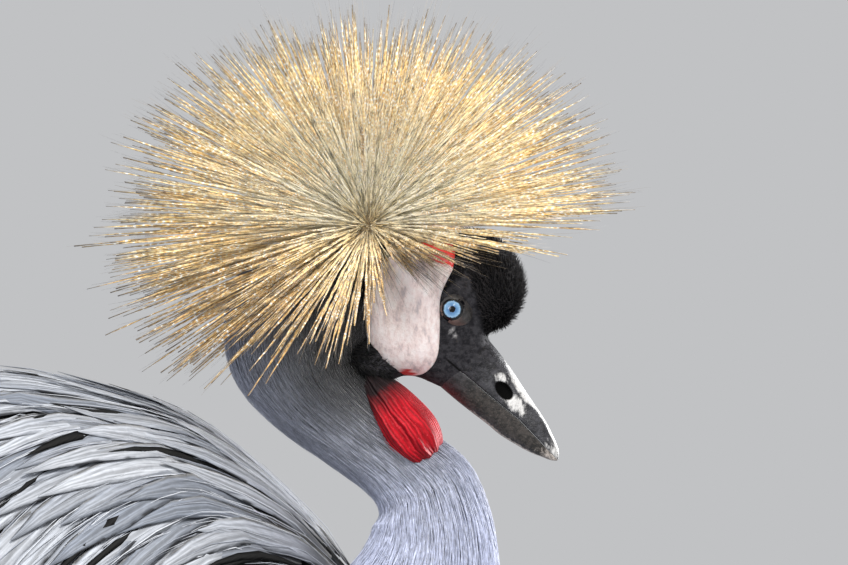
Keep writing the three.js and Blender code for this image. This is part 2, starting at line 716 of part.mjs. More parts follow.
// The origin is the middle of the model's box, on the floor
const reach = new THREE.Box3().setFromObject(bird);
bird.position.set(
  -(reach.min.x + reach.max.x) / 2, -(reach.min.y + reach.max.y) / 2, -reach.min.z,
);

export default bird;
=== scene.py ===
# Grey crowned crane, looks: one skin under a coat of separate vanes, plumes and bristles.
# Everything is modelled in the part's own millimetres (origin between the feet, +X ahead,
# the bird's right side -Y) and put in the row frame as each piece is finished.
import math
import bmesh
import bpy
import numpy as np
from mathutils import Matrix, Vector


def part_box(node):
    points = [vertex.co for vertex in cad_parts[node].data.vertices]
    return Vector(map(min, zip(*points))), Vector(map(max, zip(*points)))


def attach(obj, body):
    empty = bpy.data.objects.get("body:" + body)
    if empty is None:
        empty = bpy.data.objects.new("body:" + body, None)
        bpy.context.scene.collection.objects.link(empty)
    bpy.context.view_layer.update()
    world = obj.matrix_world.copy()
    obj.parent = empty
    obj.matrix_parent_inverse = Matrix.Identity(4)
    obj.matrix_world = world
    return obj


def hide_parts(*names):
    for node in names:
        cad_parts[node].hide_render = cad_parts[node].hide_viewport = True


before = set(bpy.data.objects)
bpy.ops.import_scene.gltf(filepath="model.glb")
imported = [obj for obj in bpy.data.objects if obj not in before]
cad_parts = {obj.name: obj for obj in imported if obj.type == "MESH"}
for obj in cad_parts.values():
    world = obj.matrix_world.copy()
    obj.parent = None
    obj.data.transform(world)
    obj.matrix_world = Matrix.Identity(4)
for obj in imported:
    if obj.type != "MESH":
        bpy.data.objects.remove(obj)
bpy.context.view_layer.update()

MM = 0.001
eyes = [(np.array(lo) + np.array(hi)) / 2 for lo, hi in (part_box("eye_right"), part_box("eye_left"))]
HEAD_AT = np.array([172.7, 0.0, 585.5])
PITCH = math.radians(48)
SHIFT = (eyes[0] + eyes[1]) / 2 - HEAD_AT * MM

# Camera, light, floor
FRAME_W, FRAME_H = 848, 565
MM_PER_PX = 0.44
VIEW_FROM = 3.5
# one place on the throat: its pixel, and its x and z in millimetres
MARK_PX, MARK_PY, MARK_X, MARK_Z = 355, 367, 130, 560


def place(p):
    return np.asarray(p, float) * MM + SHIFT


def at_pixel(px, py):
    return np.array([MARK_X + (px - MARK_PX) * MM_PER_PX, 0, MARK_Z + (MARK_PY - py) * MM_PER_PX])


camera = bpy.data.cameras.new("camera")
eye_of_camera = bpy.data.objects.new("camera", camera)
bpy.context.scene.collection.objects.link(eye_of_camera)
bpy.context.scene.camera = eye_of_camera
middle = place(at_pixel(FRAME_W / 2, FRAME_H / 2))
eye_of_camera.location = (middle[0], middle[1] - VIEW_FROM, middle[2])
eye_of_camera.rotation_euler = (math.pi / 2, 0, 0)
camera.sensor_width = 36
camera.lens = 36 * VIEW_FROM / (FRAME_W * MM_PER_PX * MM)
camera.clip_start, camera.clip_end = 0.05, 60

world = bpy.data.worlds.new("studio")
bpy.context.scene.world = world
world.use_nodes = True
sky = world.node_tree.nodes["Background"].inputs
sky["Color"].default_value = (0.86, 0.87, 0.89, 1)
sky["Strength"].default_value = 0.62
bpy.context.scene.view_settings.view_transform = "Standard"


def lamp(name, at, aim, size, power, colour=(1, 1, 1)):
    light = bpy.data.lights.new(name, "AREA")
    light.energy, light.size, light.color = power, size, colour
    holder = bpy.data.objects.new(name, light)
    bpy.context.scene.collection.objects.link(holder)
    holder.location = at
    holder.rotation_euler = (Vector(aim) - Vector(at)).to_track_quat("-Z", "Y").to_euler()


lamp("key", (0.9, -2.1, 2.3), middle, 0.7, 112, (1, 0.98, 0.94))
lamp("rim", (1.7, 1.2, 0.9), middle, 0.5, 85, (0.97, 0.98, 1))
lamp("fill", (-1.0, -2.6, 1.3), middle, 1.4, 56, (0.94, 0.96, 1))


# Materials
def shader(name, rough=0.7, colour=(0.5, 0.5, 0.5), **sockets):
    material = bpy.data.materials.new(name)
    material.use_nodes = True
    body = material.node_tree.nodes["Principled BSDF"]
    body.inputs["Roughness"].default_value = rough
    body.inputs["Base Color"].default_value = (*colour, 1)
    for key, value in sockets.items():
        body.inputs[key.replace("_", " ")].default_value = value
    return material, Wiring(material.node_tree, body)


class Wiring:
    """Joins shader nodes by short calls; a, b and c may be numbers, colours or sockets."""

    def __init__(self, tree, body):
        self.tree, self.body = tree, body

    def node(self, kind, **settings):
        made = self.tree.nodes.new(kind)
        for key, value in settings.items():
            setattr(made, key, value)
        return made

    def put(self, socket, value):
        if isinstance(value, bpy.types.NodeSocket):
            self.tree.links.new(value, socket)
        elif isinstance(value, (tuple, list)) and len(value) == 3 and socket.type == "RGBA":
            socket.default_value = (*value, 1)
        else:
            socket.default_value = value

    def math(self, kind, a, b=0.5, c=0.5):
        made = self.node("ShaderNodeMath", operation=kind)
        for socket, value in zip(made.inputs, (a, b, c)):
            self.put(socket, value)
        return made.outputs[0]

    def plus(self, a, b):
        return self.math("ADD", a, b)

    def minus(self, a, b):
        return self.math("SUBTRACT", a, b)

    def times(self, a, b):
        return self.math("MULTIPLY", a, b)

    def squares(self, a, b, middle, half=(1, 1)):
        """How far a and b are from a middle, squared, in half lengths."""
        steps = [self.math("DIVIDE", self.minus(value, at), size)
                 for value, at, size in zip((a, b), middle, half)]
        return self.plus(*(self.math("POWER", step, 2) for step in steps))

    def mix(self, share, a, b, blend="MIX"):
        made = self.node("ShaderNodeMix", data_type="RGBA", blend_type=blend)
        self.put(made.inputs["Factor"], share)
        self.put(made.inputs[6], a)
        self.put(made.inputs[7], b)
        return made.outputs[2]

    def shaded(self, colour, by):
        return self.mix(1.0, colour, by, "MULTIPLY")

    def ramp(self, value, *stops):
        made = self.node("ShaderNodeValToRGB")
        while len(made.color_ramp.elements) < len(stops):
            made.color_ramp.elements.new(0.5)
        for element, (spot, colour) in zip(made.color_ramp.elements, stops):
            element.position = spot
            element.color = (*colour, 1) if isinstance(colour, tuple) else (colour,) * 3 + (1,)
        self.put(made.inputs[0], value)
        return made.outputs[0]

    def range(self, value, low, high, to_low=0.0, to_high=1.0):
        made = self.node("ShaderNodeMapRange")
        for socket, v in zip(made.inputs, (value, low, high, to_low, to_high)):
            self.put(socket, v)
        return made.outputs[0]

    def noise(self, scale, detail=2.0, stretch=(1, 1, 1), where=None, rough=0.5):
        made = self.node("ShaderNodeTexNoise")
        made.inputs["Scale"].default_value = scale
        made.inputs["Detail"].default_value = detail
        made.inputs["Roughness"].default_value = rough
        turned = self.node("ShaderNodeMapping")
        turned.inputs["Scale"].default_value = stretch
        self.put(turned.inputs["Vector"], where or self.spot())
        self.put(made.inputs["Vector"], turned.outputs[0])
        return made.outputs["Fac"]

    def spot(self):
        return self.node("ShaderNodeTexCoord").outputs["Object"]

    def axes(self, vector=None):
        made = self.node("ShaderNodeSeparateXYZ")
        self.put(made.inputs[0], vector or self.spot())
        return made.outputs

    def head_axes(self):
        """Metres ahead of the eyes' middle and above it, in the head's frame."""
        moved = self.node("ShaderNodeVectorRotate", rotation_type="Y_AXIS")
        self.put(moved.inputs["Vector"], self.spot())
        moved.inputs["Angle"].default_value = -PITCH
        moved.inputs["Center"].default_value = tuple(place(HEAD_AT))
        x, _, z = self.axes(moved.outputs[0])
        at = place(HEAD_AT)
        return self.minus(x, float(at[0])), self.minus(z, float(at[2]))

    def vane(self):
        return self.axes(self.node("ShaderNodeUVMap", uv_map="Vane").outputs[0])

    def tint(self):
        return self.node("ShaderNodeAttribute", attribute_name="Tint").outputs["Color"]

    def bump(self, height, strength, distance):
        made = self.node("ShaderNodeBump")
        made.inputs["Strength"].default_value = strength
        made.inputs["Distance"].default_value = distance
        self.put(made.inputs["Height"], height)
        self.put(self.body.inputs["Normal"], made.outputs[0])

    def colour(self, value):
        self.put(self.body.inputs["Base Color"], value)

    def roughness(self, value):
        self.put(self.body.inputs["Roughness"], value)


def mottled(w, base, dark, pale, spots=0.35):
    """Horn or bare skin: one pattern in the row frame, so that neighbours carry on in it."""
    mottle = w.noise(330, 6, (1, 1, 1.3), rough=0.68)
    made = w.mix(w.range(mottle, 0.42, 0.58), base, dark)
    speck = w.noise(1300, 3, (1, 1, 1.4))
    made = w.mix(w.range(speck, 0.58, 0.72, 0.0, spots), made, pale)
    w.bump(w.plus(mottle, w.times(speck, 0.6)), 0.35, 0.0007)
    return made


def barbed(name, barbs, rough=0.72, depth=0.25, shaft=0.35, sheen=0.15, edge=0.0, across=9,
           fleck=0.25, along=0.0, gloss=0.5):
    """A vane: its tint, streaked by barbs that slant from a pale shaft to the edges."""
    material, w = shader(name, rough, Sheen_Weight=sheen, Specular_IOR_Level=gloss)
    u, v, _ = w.vane()
    side = w.math("ABSOLUTE", w.minus(u, 0.5))
    grain = w.noise(420, 4)
    slant = w.minus(w.times(side, across), w.times(v, barbs))
    slant = w.plus(slant, w.times(grain, 1.2))
    line = w.math("SINE", w.times(slant, 6.2832))
    streak = w.range(w.plus(line, w.times(grain, 3)), 0.2, 2.8, 1 - fleck, 1.06)
    made = w.shaded(w.tint(), streak)
    if along:
        wisps = w.node("ShaderNodeCombineXYZ")
        w.put(wisps.inputs[0], w.times(u, 11))
        w.put(wisps.inputs[1], w.times(v, 2.2))
        w.put(wisps.inputs[2], w.noise(25, 1))
        wisp = w.range(w.noise(1.0, 3, where=wisps.outputs[0]), 0.34, 0.64, 1 - along, 1.12)
        made = w.shaded(made, wisp)
    on_shaft = w.range(side, 0.02, 0.07, shaft, 0.0)
    made = w.mix(on_shaft, made, w.shaded(w.tint(), (1.15, 1.13, 1.1)))
    # edge darkens patches of the vane's outer edges near black: a painted contact shadow between
    # neighbouring vanes
    if edge:
        patch = w.range(w.noise(60, 1, (1, 1, 1.6)), 0.50, 0.56, 0.0, edge)
        made = w.mix(w.times(patch, w.range(side, 0.36, 0.45)), made, (0.012, 0.012, 0.016))
    w.colour(made)
    w.bump(w.plus(line, grain), depth, 0.0006)
    return material


def hairy(name, rough=0.6, sheen=0.3, fleck=0.25, gloss=0.4):
    """Fine filaments: their tint, flecked along their length."""
    material, w = shader(name, rough, Sheen_Weight=sheen, Specular_IOR_Level=gloss)
    grain = w.noise(500, 2)
    w.colour(w.shaded(w.tint(), w.range(grain, 0.3, 0.7, 1 - fleck, 1 + fleck)))
    return material


# Skins
def catmull(points, t):
    points = np.asarray(points, float)
    last = len(points) - 1
    spot = np.clip(np.asarray(t, float), 0, 1) * last
    i = np.minimum(np.floor(spot).astype(int), last - 1)
    w = (spot - i)[..., None]
    p1, p2 = points[i], points[i + 1]
    p0 = np.where((i > 0)[..., None], points[np.maximum(i - 1, 0)], 2 * points[0] - points[1])
    p3 = np.where((i + 2 <= last)[..., None], points[np.minimum(i + 2, last)],
                  2 * points[last] - points[last - 1])
    a, b = 0.5 * (p2 - p0), 0.5 * (p3 - p1)
    return p1 + a * w + (3 * (p2 - p1) - 2 * a - b) * w**2 + (2 * (p1 - p2) + a + b) * w**3


def unit(v):
    v = np.asarray(v, float)
    return v / np.maximum(np.linalg.norm(v, axis=-1, keepdims=True), 1e-9)


FORE = np.array([math.cos(PITCH), 0, -math.sin(PITCH)])
CROWN = np.array([math.sin(PITCH), 0, math.cos(PITCH)])
TURN_HEAD = np.array([FORE, [0, 1, 0], CROWN])


def on_head(p):
    """From the head's frame (bill ahead, crown up, eyes on y) to the part's."""
    return HEAD_AT + np.asarray(p, float) @ TURN_HEAD


class Skin:
    """The oval tube through stations of x, y, z, half height and half width."""

    def __init__(self, stations, upright=False, shift=(0, 0, 0), head=False, folds=(0, 0),
                 ease=1e-3):
        self.stations = np.asarray(stations, float).copy()
        self.stations[:, :3] += np.asarray(shift, float)
        self.upright, self.head, self.folds, self.ease = upright, head, folds, ease
        self.shares = np.linspace(0, 1, 400)
        spine = catmull(self.stations[:, :3], self.shares)
        self.reach = np.concatenate(
            [[0], np.cumsum(np.linalg.norm(np.diff(spine, axis=0), axis=1))])

    def middle(self, t):
        centre = catmull(self.stations[:, :3], t)
        return on_head(centre) if self.head else centre

    def __call__(self, t, turn, grow=0.0):
        t, turn = np.broadcast_arrays(np.asarray(t, float), np.asarray(turn, float))
        centre = catmull(self.stations[:, :3], t)
        along = unit(catmull(self.stations[:, :3], np.minimum(t + self.ease, 1))
                     - catmull(self.stations[:, :3], np.maximum(t - self.ease, 0)))
        size = catmull(self.stations[:, 3:], t)
        size = size * (1 + self.folds[1] * np.cos(self.folds[0] * turn))[..., None]
        size = np.maximum(size + np.asarray(grow)[..., None], 0.2)
        side = np.broadcast_to([0.0, 1, 0], along.shape)
        dorsal = np.broadcast_to([0.0, 0, 1], along.shape) if self.upright \
            else unit(np.cross(side, along))
        across = side if self.upright else unit(np.cross(along, dorsal))
        c, s = np.cos(turn)[..., None], np.sin(turn)[..., None]
        high, wide = size[..., :1], size[..., 1:]
        point = centre + dorsal * high * c + across * wide * s
        normal = unit(dorsal * c / high + across * s / wide)
        if self.head:
            return on_head(point), normal @ TURN_HEAD, along @ TURN_HEAD
        return point, normal, along

    def share_at(self, x):
        """The share of the spine where its x is the one asked for (x falls along it)."""
        line = catmull(self.stations[:, :1], self.shares)[:, 0]
        return np.interp(-np.asarray(x, float), -line, self.shares)


def outward(bm):
    """Turns a closed shape's faces outward."""
    bmesh.ops.recalc_face_normals(bm, faces=bm.faces)
    if bm.calc_volume(signed=True) < 0:
        bmesh.ops.reverse_faces(bm, faces=bm.faces)


def grid_of(around, rings):
    """A flat grid to be bent to a tube, with each point's row, turn and share of the way."""
    bm = bmesh.new()
    bmesh.ops.create_grid(bm, x_segments=rings + 1, y_segments=around, size=1)
    spots = np.array([v.co for v in bm.verts])
    row = np.round((spots[:, 0] + 1) / 2 * (rings + 1))
    return bm, row, (spots[:, 1] + 1) * math.pi, np.clip((row - 1) / (rings - 1), 0, 1)


def bent(bm, row, point, centre):
    """Closes a grid bent to a tube: its end rows drawn to a point and its seam joined."""
    ends = (row == 0) | (row == row.max())
    point[ends] = centre[ends]
    for v, co in zip(bm.verts, point):
        v.co = co
    bmesh.ops.remove_doubles(bm, verts=bm.verts, dist=1e-4)
    outward(bm)
    return bm


def tube(skin, around, rings, grow=0.0, share=(0, 1)):
    bm, row, turn, t = grid_of(around, rings)
    t = share[0] + (share[1] - share[0]) * t
    return bent(bm, row, skin(t, turn, grow)[0], skin.middle(t))


def mesh_of(bm, name):
    mesh = bpy.data.meshes.new(name)
    bm.to_mesh(mesh)
    bm.free()
    return mesh


def blended(shapes, name, voxel, smooth=4):
    """Closed shapes made one surface, its joins rounded off."""
    bm = bmesh.new()
    for shape in shapes:
        piece = mesh_of(shape, "part")
        bm.from_mesh(piece)
        bpy.data.meshes.remove(piece)
    mesh = mesh_of(bm, name)
    holder = bpy.data.objects.new(name, mesh)
    bpy.context.scene.collection.objects.link(holder)
    remesh = holder.modifiers.new("one surface", "REMESH")
    remesh.mode, remesh.voxel_size = "VOXEL", voxel
    ready = bpy.data.meshes.new_from_object(
        holder.evaluated_get(bpy.context.evaluated_depsgraph_get()))
    bpy.data.objects.remove(holder)
    bm = bmesh.new()
    bm.from_mesh(ready)
    for _ in range(smooth):
        bmesh.ops.smooth_vert(bm, verts=bm.verts, factor=0.5,
                              use_axis_x=True, use_axis_y=True, use_axis_z=True)
    bpy.data.meshes.remove(ready)
    return bm


def piece(name, bm_or_mesh, material, nodes=(), slot=None):
    """Puts a finished shape in the row frame and on the body."""
    mesh = bm_or_mesh if isinstance(bm_or_mesh, bpy.types.Mesh) else mesh_of(bm_or_mesh, name)
    mesh.transform(Matrix.Translation(Vector(SHIFT)) @ Matrix.Scale(MM, 4))
    mesh.materials.append(material)
    mesh.polygons.foreach_set("use_smooth", [True] * len(mesh.polygons))
    made = bpy.data.objects.new(name, mesh)
    bpy.context.scene.collection.objects.link(made)
    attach(made, "root")
    if nodes:
        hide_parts(*nodes)


def store_tint(mesh, rgb):
    rgba = np.ones((len(mesh.vertices), 4))
    rgba[:, :3] = rgb
    made = mesh.color_attributes.new("Tint", "FLOAT_COLOR", "POINT")
    made.data.foreach_set("color", rgba.ravel())


# Stamping vanes
RINGS = {
    "hair": [(-1, 0), (0, 1), (1, 0)],
    "blade": [(-1, 0), (0, 1), (1, 0), (0, -1)],
    "vane": [(-1, 0), (-0.5, 0.8), (0, 1), (0.5, 0.8), (1, 0), (0, -0.8)],
}


def stamp(name, centres, normals, widths, thicks, tints, material, *, ring="blade", camber=0.0,
          bake=None, nodes=(), slot=None):
    """One mesh of many closed vanes. centres and normals are [vane, station, xyz], widths and
    thicks [vane, station], tints [vane, station, rgb] and bake [vane, 2], the place of each
    root on the unwrapped skin."""
    count, stations = centres.shape[:2]
    section = np.array(RINGS[ring], float)
    k = len(section)
    along = np.gradient(centres, axis=1)
    across = unit(np.cross(along, normals))
    up = unit(np.cross(across, along))
    a, h = section[:, 0], section[:, 1]
    wide, thick = widths[..., None, None] / 2, thicks[..., None, None] / 2
    lift = h[:, None] * thick - camber * wide * (a**2)[:, None]
    verts = (centres[:, :, None] + across[:, :, None] * (a[:, None] * wide)
             + up[:, :, None] * lift).reshape(-1, 3)
    base = np.arange(count)[:, None, None] * stations * k
    step = np.arange(stations - 1)[None, :, None] * k
    i = np.arange(k)[None, None]
    j = (np.arange(k)[None, None] + 1) % k
    quads = np.stack([base + step + i, base + step + j, base + step + k + j,
                      base + step + k + i], -1).reshape(-1, 4)
    caps = [base[:, 0] + np.arange(k)[None, ::-1], base[:, 0] + (stations - 1) * k
            + np.arange(k)[None]]
    caps = np.concatenate(caps).reshape(-1, k)
    mesh = bpy.data.meshes.new(name)
    loops = np.concatenate([quads.ravel(), caps.ravel()])
    sizes = np.concatenate([np.full(len(quads), 4), np.full(len(caps), k)])
    mesh.vertices.add(len(verts))
    mesh.vertices.foreach_set("co", verts.ravel())
    mesh.loops.add(len(loops))
    mesh.loops.foreach_set("vertex_index", loops.astype(np.int32))
    mesh.polygons.add(len(sizes))
    mesh.polygons.foreach_set("loop_start", np.concatenate([[0], np.cumsum(sizes)[:-1]])
                              .astype(np.int32))
    mesh.polygons.foreach_set("loop_total", sizes.astype(np.int32))
    mesh.update(calc_edges=True)
    share = np.linspace(0, 1, stations)
    local = np.stack(np.broadcast_arrays((a[None, :] + 1) / 2, share[:, None]), -1)
    local = np.broadcast_to(local[None], (count, stations, k, 2)).reshape(-1, 2)
    bake = np.zeros((count, 2)) if bake is None else bake
    root = np.repeat(bake, stations * k, axis=0)
    mesh.uv_layers.new(name="OFBake").data.foreach_set(
        "uv", (root + 0.003 * (local - 0.5))[loops].ravel())
    mesh.uv_layers.new(name="Vane").data.foreach_set("uv", local[loops].ravel())
    store_tint(mesh, np.broadcast_to(tints[:, :, None], (count, stations, k, 3)).reshape(-1, 3))
    piece(name, mesh, material, nodes, slot)


rng = np.random.default_rng(20)


def spread(low, high, size):
    return low + (high - low) * rng.random(size)


def fade(x, low, high):
    s = np.clip((np.asarray(x, float) - low) / (high - low), 0, 1)
    return s * s * (3 - 2 * s)


def blend(a, b, share):
    return np.asarray(a) + (np.asarray(b) - np.asarray(a)) * np.asarray(share)[..., None]


def scatter(skin, shares, turns, gap, loose=0.45):
    """Staggered root places, as shares and turns, about gap = (along, across) apart."""
    start, end = np.interp(shares, skin.shares, skin.reach)
    found = []
    for r in range(max(int((end - start) / gap[0]), 1)):
        reach = start + (r + 0.5) * gap[0]
        t = np.interp(reach, skin.reach, skin.shares)
        angles = np.radians(np.linspace(*turns, 90))
        ring = skin(np.full(90, t), angles)[0]
        girth = np.concatenate([[0], np.cumsum(np.linalg.norm(np.diff(ring, axis=0), axis=1))])
        n = max(int(girth[-1] / gap[1]), 1)
        spots = (np.arange(n) + 0.25 + 0.5 * (r % 2) + loose * spread(-1, 1, n)) / n * girth[-1]
        t = np.interp(reach + loose * gap[0] * spread(-1, 1, n), skin.reach, skin.shares)
        found.append(np.stack([t, np.interp(spots, girth, angles)], -1))
    return np.concatenate(found)


def run(skin, roots, lengths, sweep, stations, rise):
    """Centres and normals of vanes that lie along a skin. sweep is the turn taken per mm,
    rise(share, turn, s) the height over the skin."""
    s = np.linspace(0, 1, stations)[None]
    lengths, sweep = np.broadcast_to(lengths, len(roots)), np.broadcast_to(sweep, len(roots))
    reach = np.interp(roots[:, 0], skin.shares, skin.reach)[:, None] + lengths[:, None] * s
    t = np.interp(reach, skin.reach, skin.shares)
    turn = roots[:, 1:] + sweep[:, None] * lengths[:, None] * s
    point, normal, along = skin(t, turn)
    over = np.maximum(reach - skin.reach[-1], 0)[..., None]
    return point + normal * rise(t, turn, s)[..., None] + along * over, normal


def bake_of(roots):
    """The roots' places on the unwrapped tube of a skin."""
    return np.stack([roots[:, 1] / (2 * math.pi) % 1, roots[:, 0]], -1)


def bake_round(ways, half=0.4):
    """The places of ways from one centre, seen from above."""
    return 0.5 + half * ways[:, :2]


def leaf(s, root=0.35, full=0.4, tip=0.05):
    """The width of a lance-shaped vane along it."""
    return np.interp(s, [0, full * 0.4, full, (1 + full) / 2, 1],
                     [root, 0.5 + 0.5 * root, 1, 0.72, tip])


# The bird's sizes, in mm
HEAD = Skin([
    [24, 0, -12.2, 14.6, 10.6], [12, 0, -12, 20, 14.2], [5, 0, -12.2, 26.2, 16.4],
    [-4, 0, -10, 32, 18.4], [-15, 0, -6, 34, 20], [-26, 0, -6, 28, 20.2],
    [-37, 0, -8.5, 19.5, 18], [-46, 0, -10, 13, 14], [-53, 0, -10, 6, 8]],
    upright=True, head=True)
BILL = Skin([
    [80.4, 0, -9.9, .6, .6], [78.5, 0, -9.8, 2.4, 1.5], [75.3, 0, -9.8, 4.1, 2.6],
    [70, 0, -10.3, 6.3, 3.6], [63.6, 0, -10.6, 8.3, 4.8], [55, 0, -11.2, 10.2, 6],
    [48, 0, -11.2, 11.2, 6.9], [32, 0, -11.5, 13.8, 9], [14, 0, -12.2, 15.4, 11.2]],
    upright=True, head=True)
MOUTH = np.array([[8, -17.4], [14, -16.6], [36, -13.7], [56, -10.6], [84, -9.7]])
# the mouth's line by the face: its slope, and in metres its height at the eyes
MOUTH_SLOPE, MOUTH_LOW = 0.1318, -0.01845
NOSTRIL = np.array([41.8, -7.0])
CASQUE_AT, CASQUE_HALF = np.array([-2.5, 0, 15.2]), np.array([25.2, 16.0, 22.8])
CHEEK = np.array([[-13, 12.5], [-7.5, 0], [3, -10], [11.5, -19.5], [12.4, -29], [5.5, -36.5],
                  [-4, -41.5], [-15, -38.5], [-23, -32], [-29, -24], [-36, -12], [-33, 3],
                  [-28, 15], [-20, 19]], float)
CREST_AT = on_head([-52, 0, -2.5])
NECK = Skin([
    [112, 0, 612, 15, 14], [109, 0, 602, 26, 21], [106, 0, 585, 32, 26], [106, 0, 566, 31, 26],
    [114.5, 0, 548.8, 24, 21.5], [132, 0, 532, 19.5, 16.8], [149, 0, 518.3, 18.5, 16.6],
    [160.1, 0, 507.2, 21.8, 19.5], [163.4, 0, 495, 25, 22.5], [164.3, 0, 483, 27.5, 25],
    [162, 0, 468, 32, 30], [156, 0, 446, 40, 38], [138, 0, 424, 49, 47], [108, 0, 408, 52, 50]],
    ease=0.085)
WATTLE = Skin([
    [133, 0, 558, 3.5, 9], [140.2, 0, 548.4, 9.5, 18], [147.4, 0, 538.8, 12.5, 23],
    [154.6, 0, 529.2, 13.5, 24.5], [160.2, 0, 521.8, 10.5, 20], [164, 0, 516.8, 3.5, 7]],
    folds=(11, 0.05))
THROAT = Skin([
    [106, 0, 575, 16, 18], [120, 0, 568, 15, 18.5], [132, 0, 562.5, 11.5, 17],
    [142, 0, 558.5, 7, 13.5], [149, 0, 556, 3, 7]])
TORSO = Skin([
    [152, 0, 420, 18, 20], [135, 0, 422, 44, 40], [104, 0, 427, 71, 56], [62, 0, 436, 94, 68],
    [20, 0, 442, 102, 75], [-30, 0, 445, 107, 78], [-90, 0, 445, 99, 76],
    [-150, 0, 436, 78, 66], [-205, 0, 420, 51, 48], [-250, 0, 402, 24, 26]], upright=True)
FEET_X, FEET_Y = -22, 48
SIDES = (("right", -1), ("left", 1))
ALL_ROUND = (-180, 180)
PLUSH_BLACK, FACE_GREY = (0.006, 0.006, 0.007), (0.033, 0.032, 0.036)
THIGHS = [Skin([[34, 0, 408, 48, 27], [20, 0, 368, 42, 26], [4, 0, 338, 28, 20],
                [-9, 0, 311, 15, 13], [-15, 0, 297, 9, 8.4]], shift=(0, side * FEET_Y, 0))
          for _, side in SIDES]
LEGS = [Skin([[18, 0, 372, 12, 10], [-8, 0, 314, 8, 7], [-34, 0, 256, 6.2, 5.4],
              [-48, 0, 229, 7.4, 6.8], [-51, 0, 216, 9.6, 8.6], [-49, 0, 203, 7, 6.4],
              [-41, 0, 150, 5.2, 4.6], [-30, 0, 70, 5.2, 4.6], [-24, 0, 24, 6.2, 5.8],
              [-22, 0, 9, 8.4, 8.4]], shift=(0, side * FEET_Y, 0)) for _, side in SIDES]


def wing_rise(t, turn):
    """The folded wings' pads stand out of the torso by this much, and the mantle's over them."""
    x = catmull(TORSO.stations[:, :1], t)[..., 0]
    angle = (np.degrees(turn) + 180) % 360 - 180
    wing = 1 - ((x + 50) / 158) ** 2 - ((np.abs(angle) - 72) / 48) ** 2
    back = 1 - ((x - 46) / 88) ** 2 - (angle / 58) ** 2
    return 13 * np.maximum(wing, 0) ** 0.55 + 2.5 * np.maximum(back, 0) ** 0.5


# Skin
def ball(at, half, around=40, rows=28, head=False):
    bm = bmesh.new()
    bmesh.ops.create_uvsphere(bm, u_segments=around, v_segments=rows, radius=1)
    for v in bm.verts:
        spot = np.array(v.co) * half + at
        v.co = on_head(spot) if head else spot
    return bm


def to_head(p):
    return (np.asarray(p) - HEAD_AT) @ TURN_HEAD.T


def neck_tint(points):
    """Black under the face, charcoal round it, paler towards the nape and down the front."""
    far = np.hypot(points[..., 0] - 137, 0.9 * (points[..., 2] - 583))
    z = points[..., 2]
    tone = blend((0.005, 0.005, 0.006), (0.03, 0.032, 0.040), fade(far, 24, 38))
    tone = blend(tone, (0.15, 0.16, 0.20), fade(far, 34, 54))
    tone = blend(tone, (0.28, 0.30, 0.39), fade(far, 50, 78))
    return blend(tone, (0.36, 0.39, 0.52), fade(z, 520, 478))


def on_face(hx, hz, room=0.0):
    """Bare mottled skin between the cheek, the casque and the bill."""
    return (hx > -8 + room) & (hz < 12.6 - 0.53 * hx - room)


def skin_tint(points):
    hx, _, hz = to_head(points).T
    tone = neck_tint(points)
    body = points[:, 2] < np.interp(points[:, 0], [90, 118, 150], [600, 505, 440])
    # the trunk's skin near black high up and greyer lower down: the near black under the mantle is
    # painted shade for the gaps between its vanes
    tone = np.where(body[:, None], blend((0.03, 0.032, 0.036), (0.20, 0.205, 0.23),
                                         fade(points[:, 2], 430, 380)), tone)
    head = (np.hypot(hx + 8, hz) < 46) & (hx > -46)
    tone = np.where(head[:, None], PLUSH_BLACK, tone)
    face = on_face(hx, hz) & head
    tone = np.where(face[:, None], FACE_GREY, tone)
    spot = np.hypot((hx - 7.6) / 2.4, (hz + 6.4) / 1.1) < 1
    return np.where((spot & face)[:, None], [0.34, 0.33, 0.33], tone)


def tinted(mesh, tint):
    """Stores a colour at each point of a mesh made in the part's millimetres."""
    points = np.empty(len(mesh.vertices) * 3)
    mesh.vertices.foreach_get("co", points)
    store_tint(mesh, tint(points.reshape(-1, 3)))
    return mesh


skin_look, w = shader("skin under the coat", 0.7, Specular_IOR_Level=0.06)
dim = w.shaded(w.tint(), (0.36, 0.36, 0.38))
light = w.shaded(w.tint(), (1.5, 1.45, 1.4))
made = mottled(w, w.tint(), dim, light, 0.8)
hx, hz = w.head_axes()
# a near black line along the mouth's line on the face, 13.5 to 34 mm ahead of the eyes: painted shade
# in the mouth's slit
mouth = w.math("MULTIPLY_ADD", hx, MOUTH_SLOPE, MOUTH_LOW)
line = w.range(w.math("ABSOLUTE", w.minus(hz, mouth)), 0.0006, 0.0002)
line = w.times(w.times(line, w.range(hx, 0.0135, 0.0155)), w.range(hx, 0.034, 0.032))
w.colour(w.mix(line, made, (0.003, 0.003, 0.003)))
skin = blended(
    [tube(TORSO, 96, 80, -5), tube(NECK, 72, 90, -2.2), tube(HEAD, 72, 60, -0.6),
     tube(THROAT, 48, 30, -1.5), ball(CASQUE_AT, CASQUE_HALF - 2.4, head=True)]
    + [tube(leg, 48, 40, -4) for leg in THIGHS], "skin", 1.95, 3)
piece("skin", tinted(mesh_of(skin, "skin"), skin_tint), skin_look,
      ("head", "casque", "neck_upper", "neck_middle", "neck_base", "torso", "thigh_right",
       "thigh_left"), "body")

# Crown of bristles
GOLDEN = math.pi * (3 - math.sqrt(5))
CROWN_TRIED, CROWN_LOW, CROWN_STRANDS, CROWN_DOWN = 1740, 460, 760, 2600
CROWN_LOWEST, CROWN_WIDEST = 127, 0.94
# how far from upright the bristles reach, from straight ahead round to straight behind
CROWN_RIM = [(0, 85), (30, 91), (60, 99), (90, 118), (120, 127), (150, 126), (170, 114), (180, 106)]
# the share of its length that a low bristle has, by its slope as seen from the side
CROWN_SHORT = [(-110, 1), (-92, .9), (-80, .60), (-66, .33), (-34, .38), (-22, .52), (-13, .66),
               (-7, 1)]
STRAW, CREAM = (0.93, 0.74, 0.40), (1.0, 0.94, 0.74)


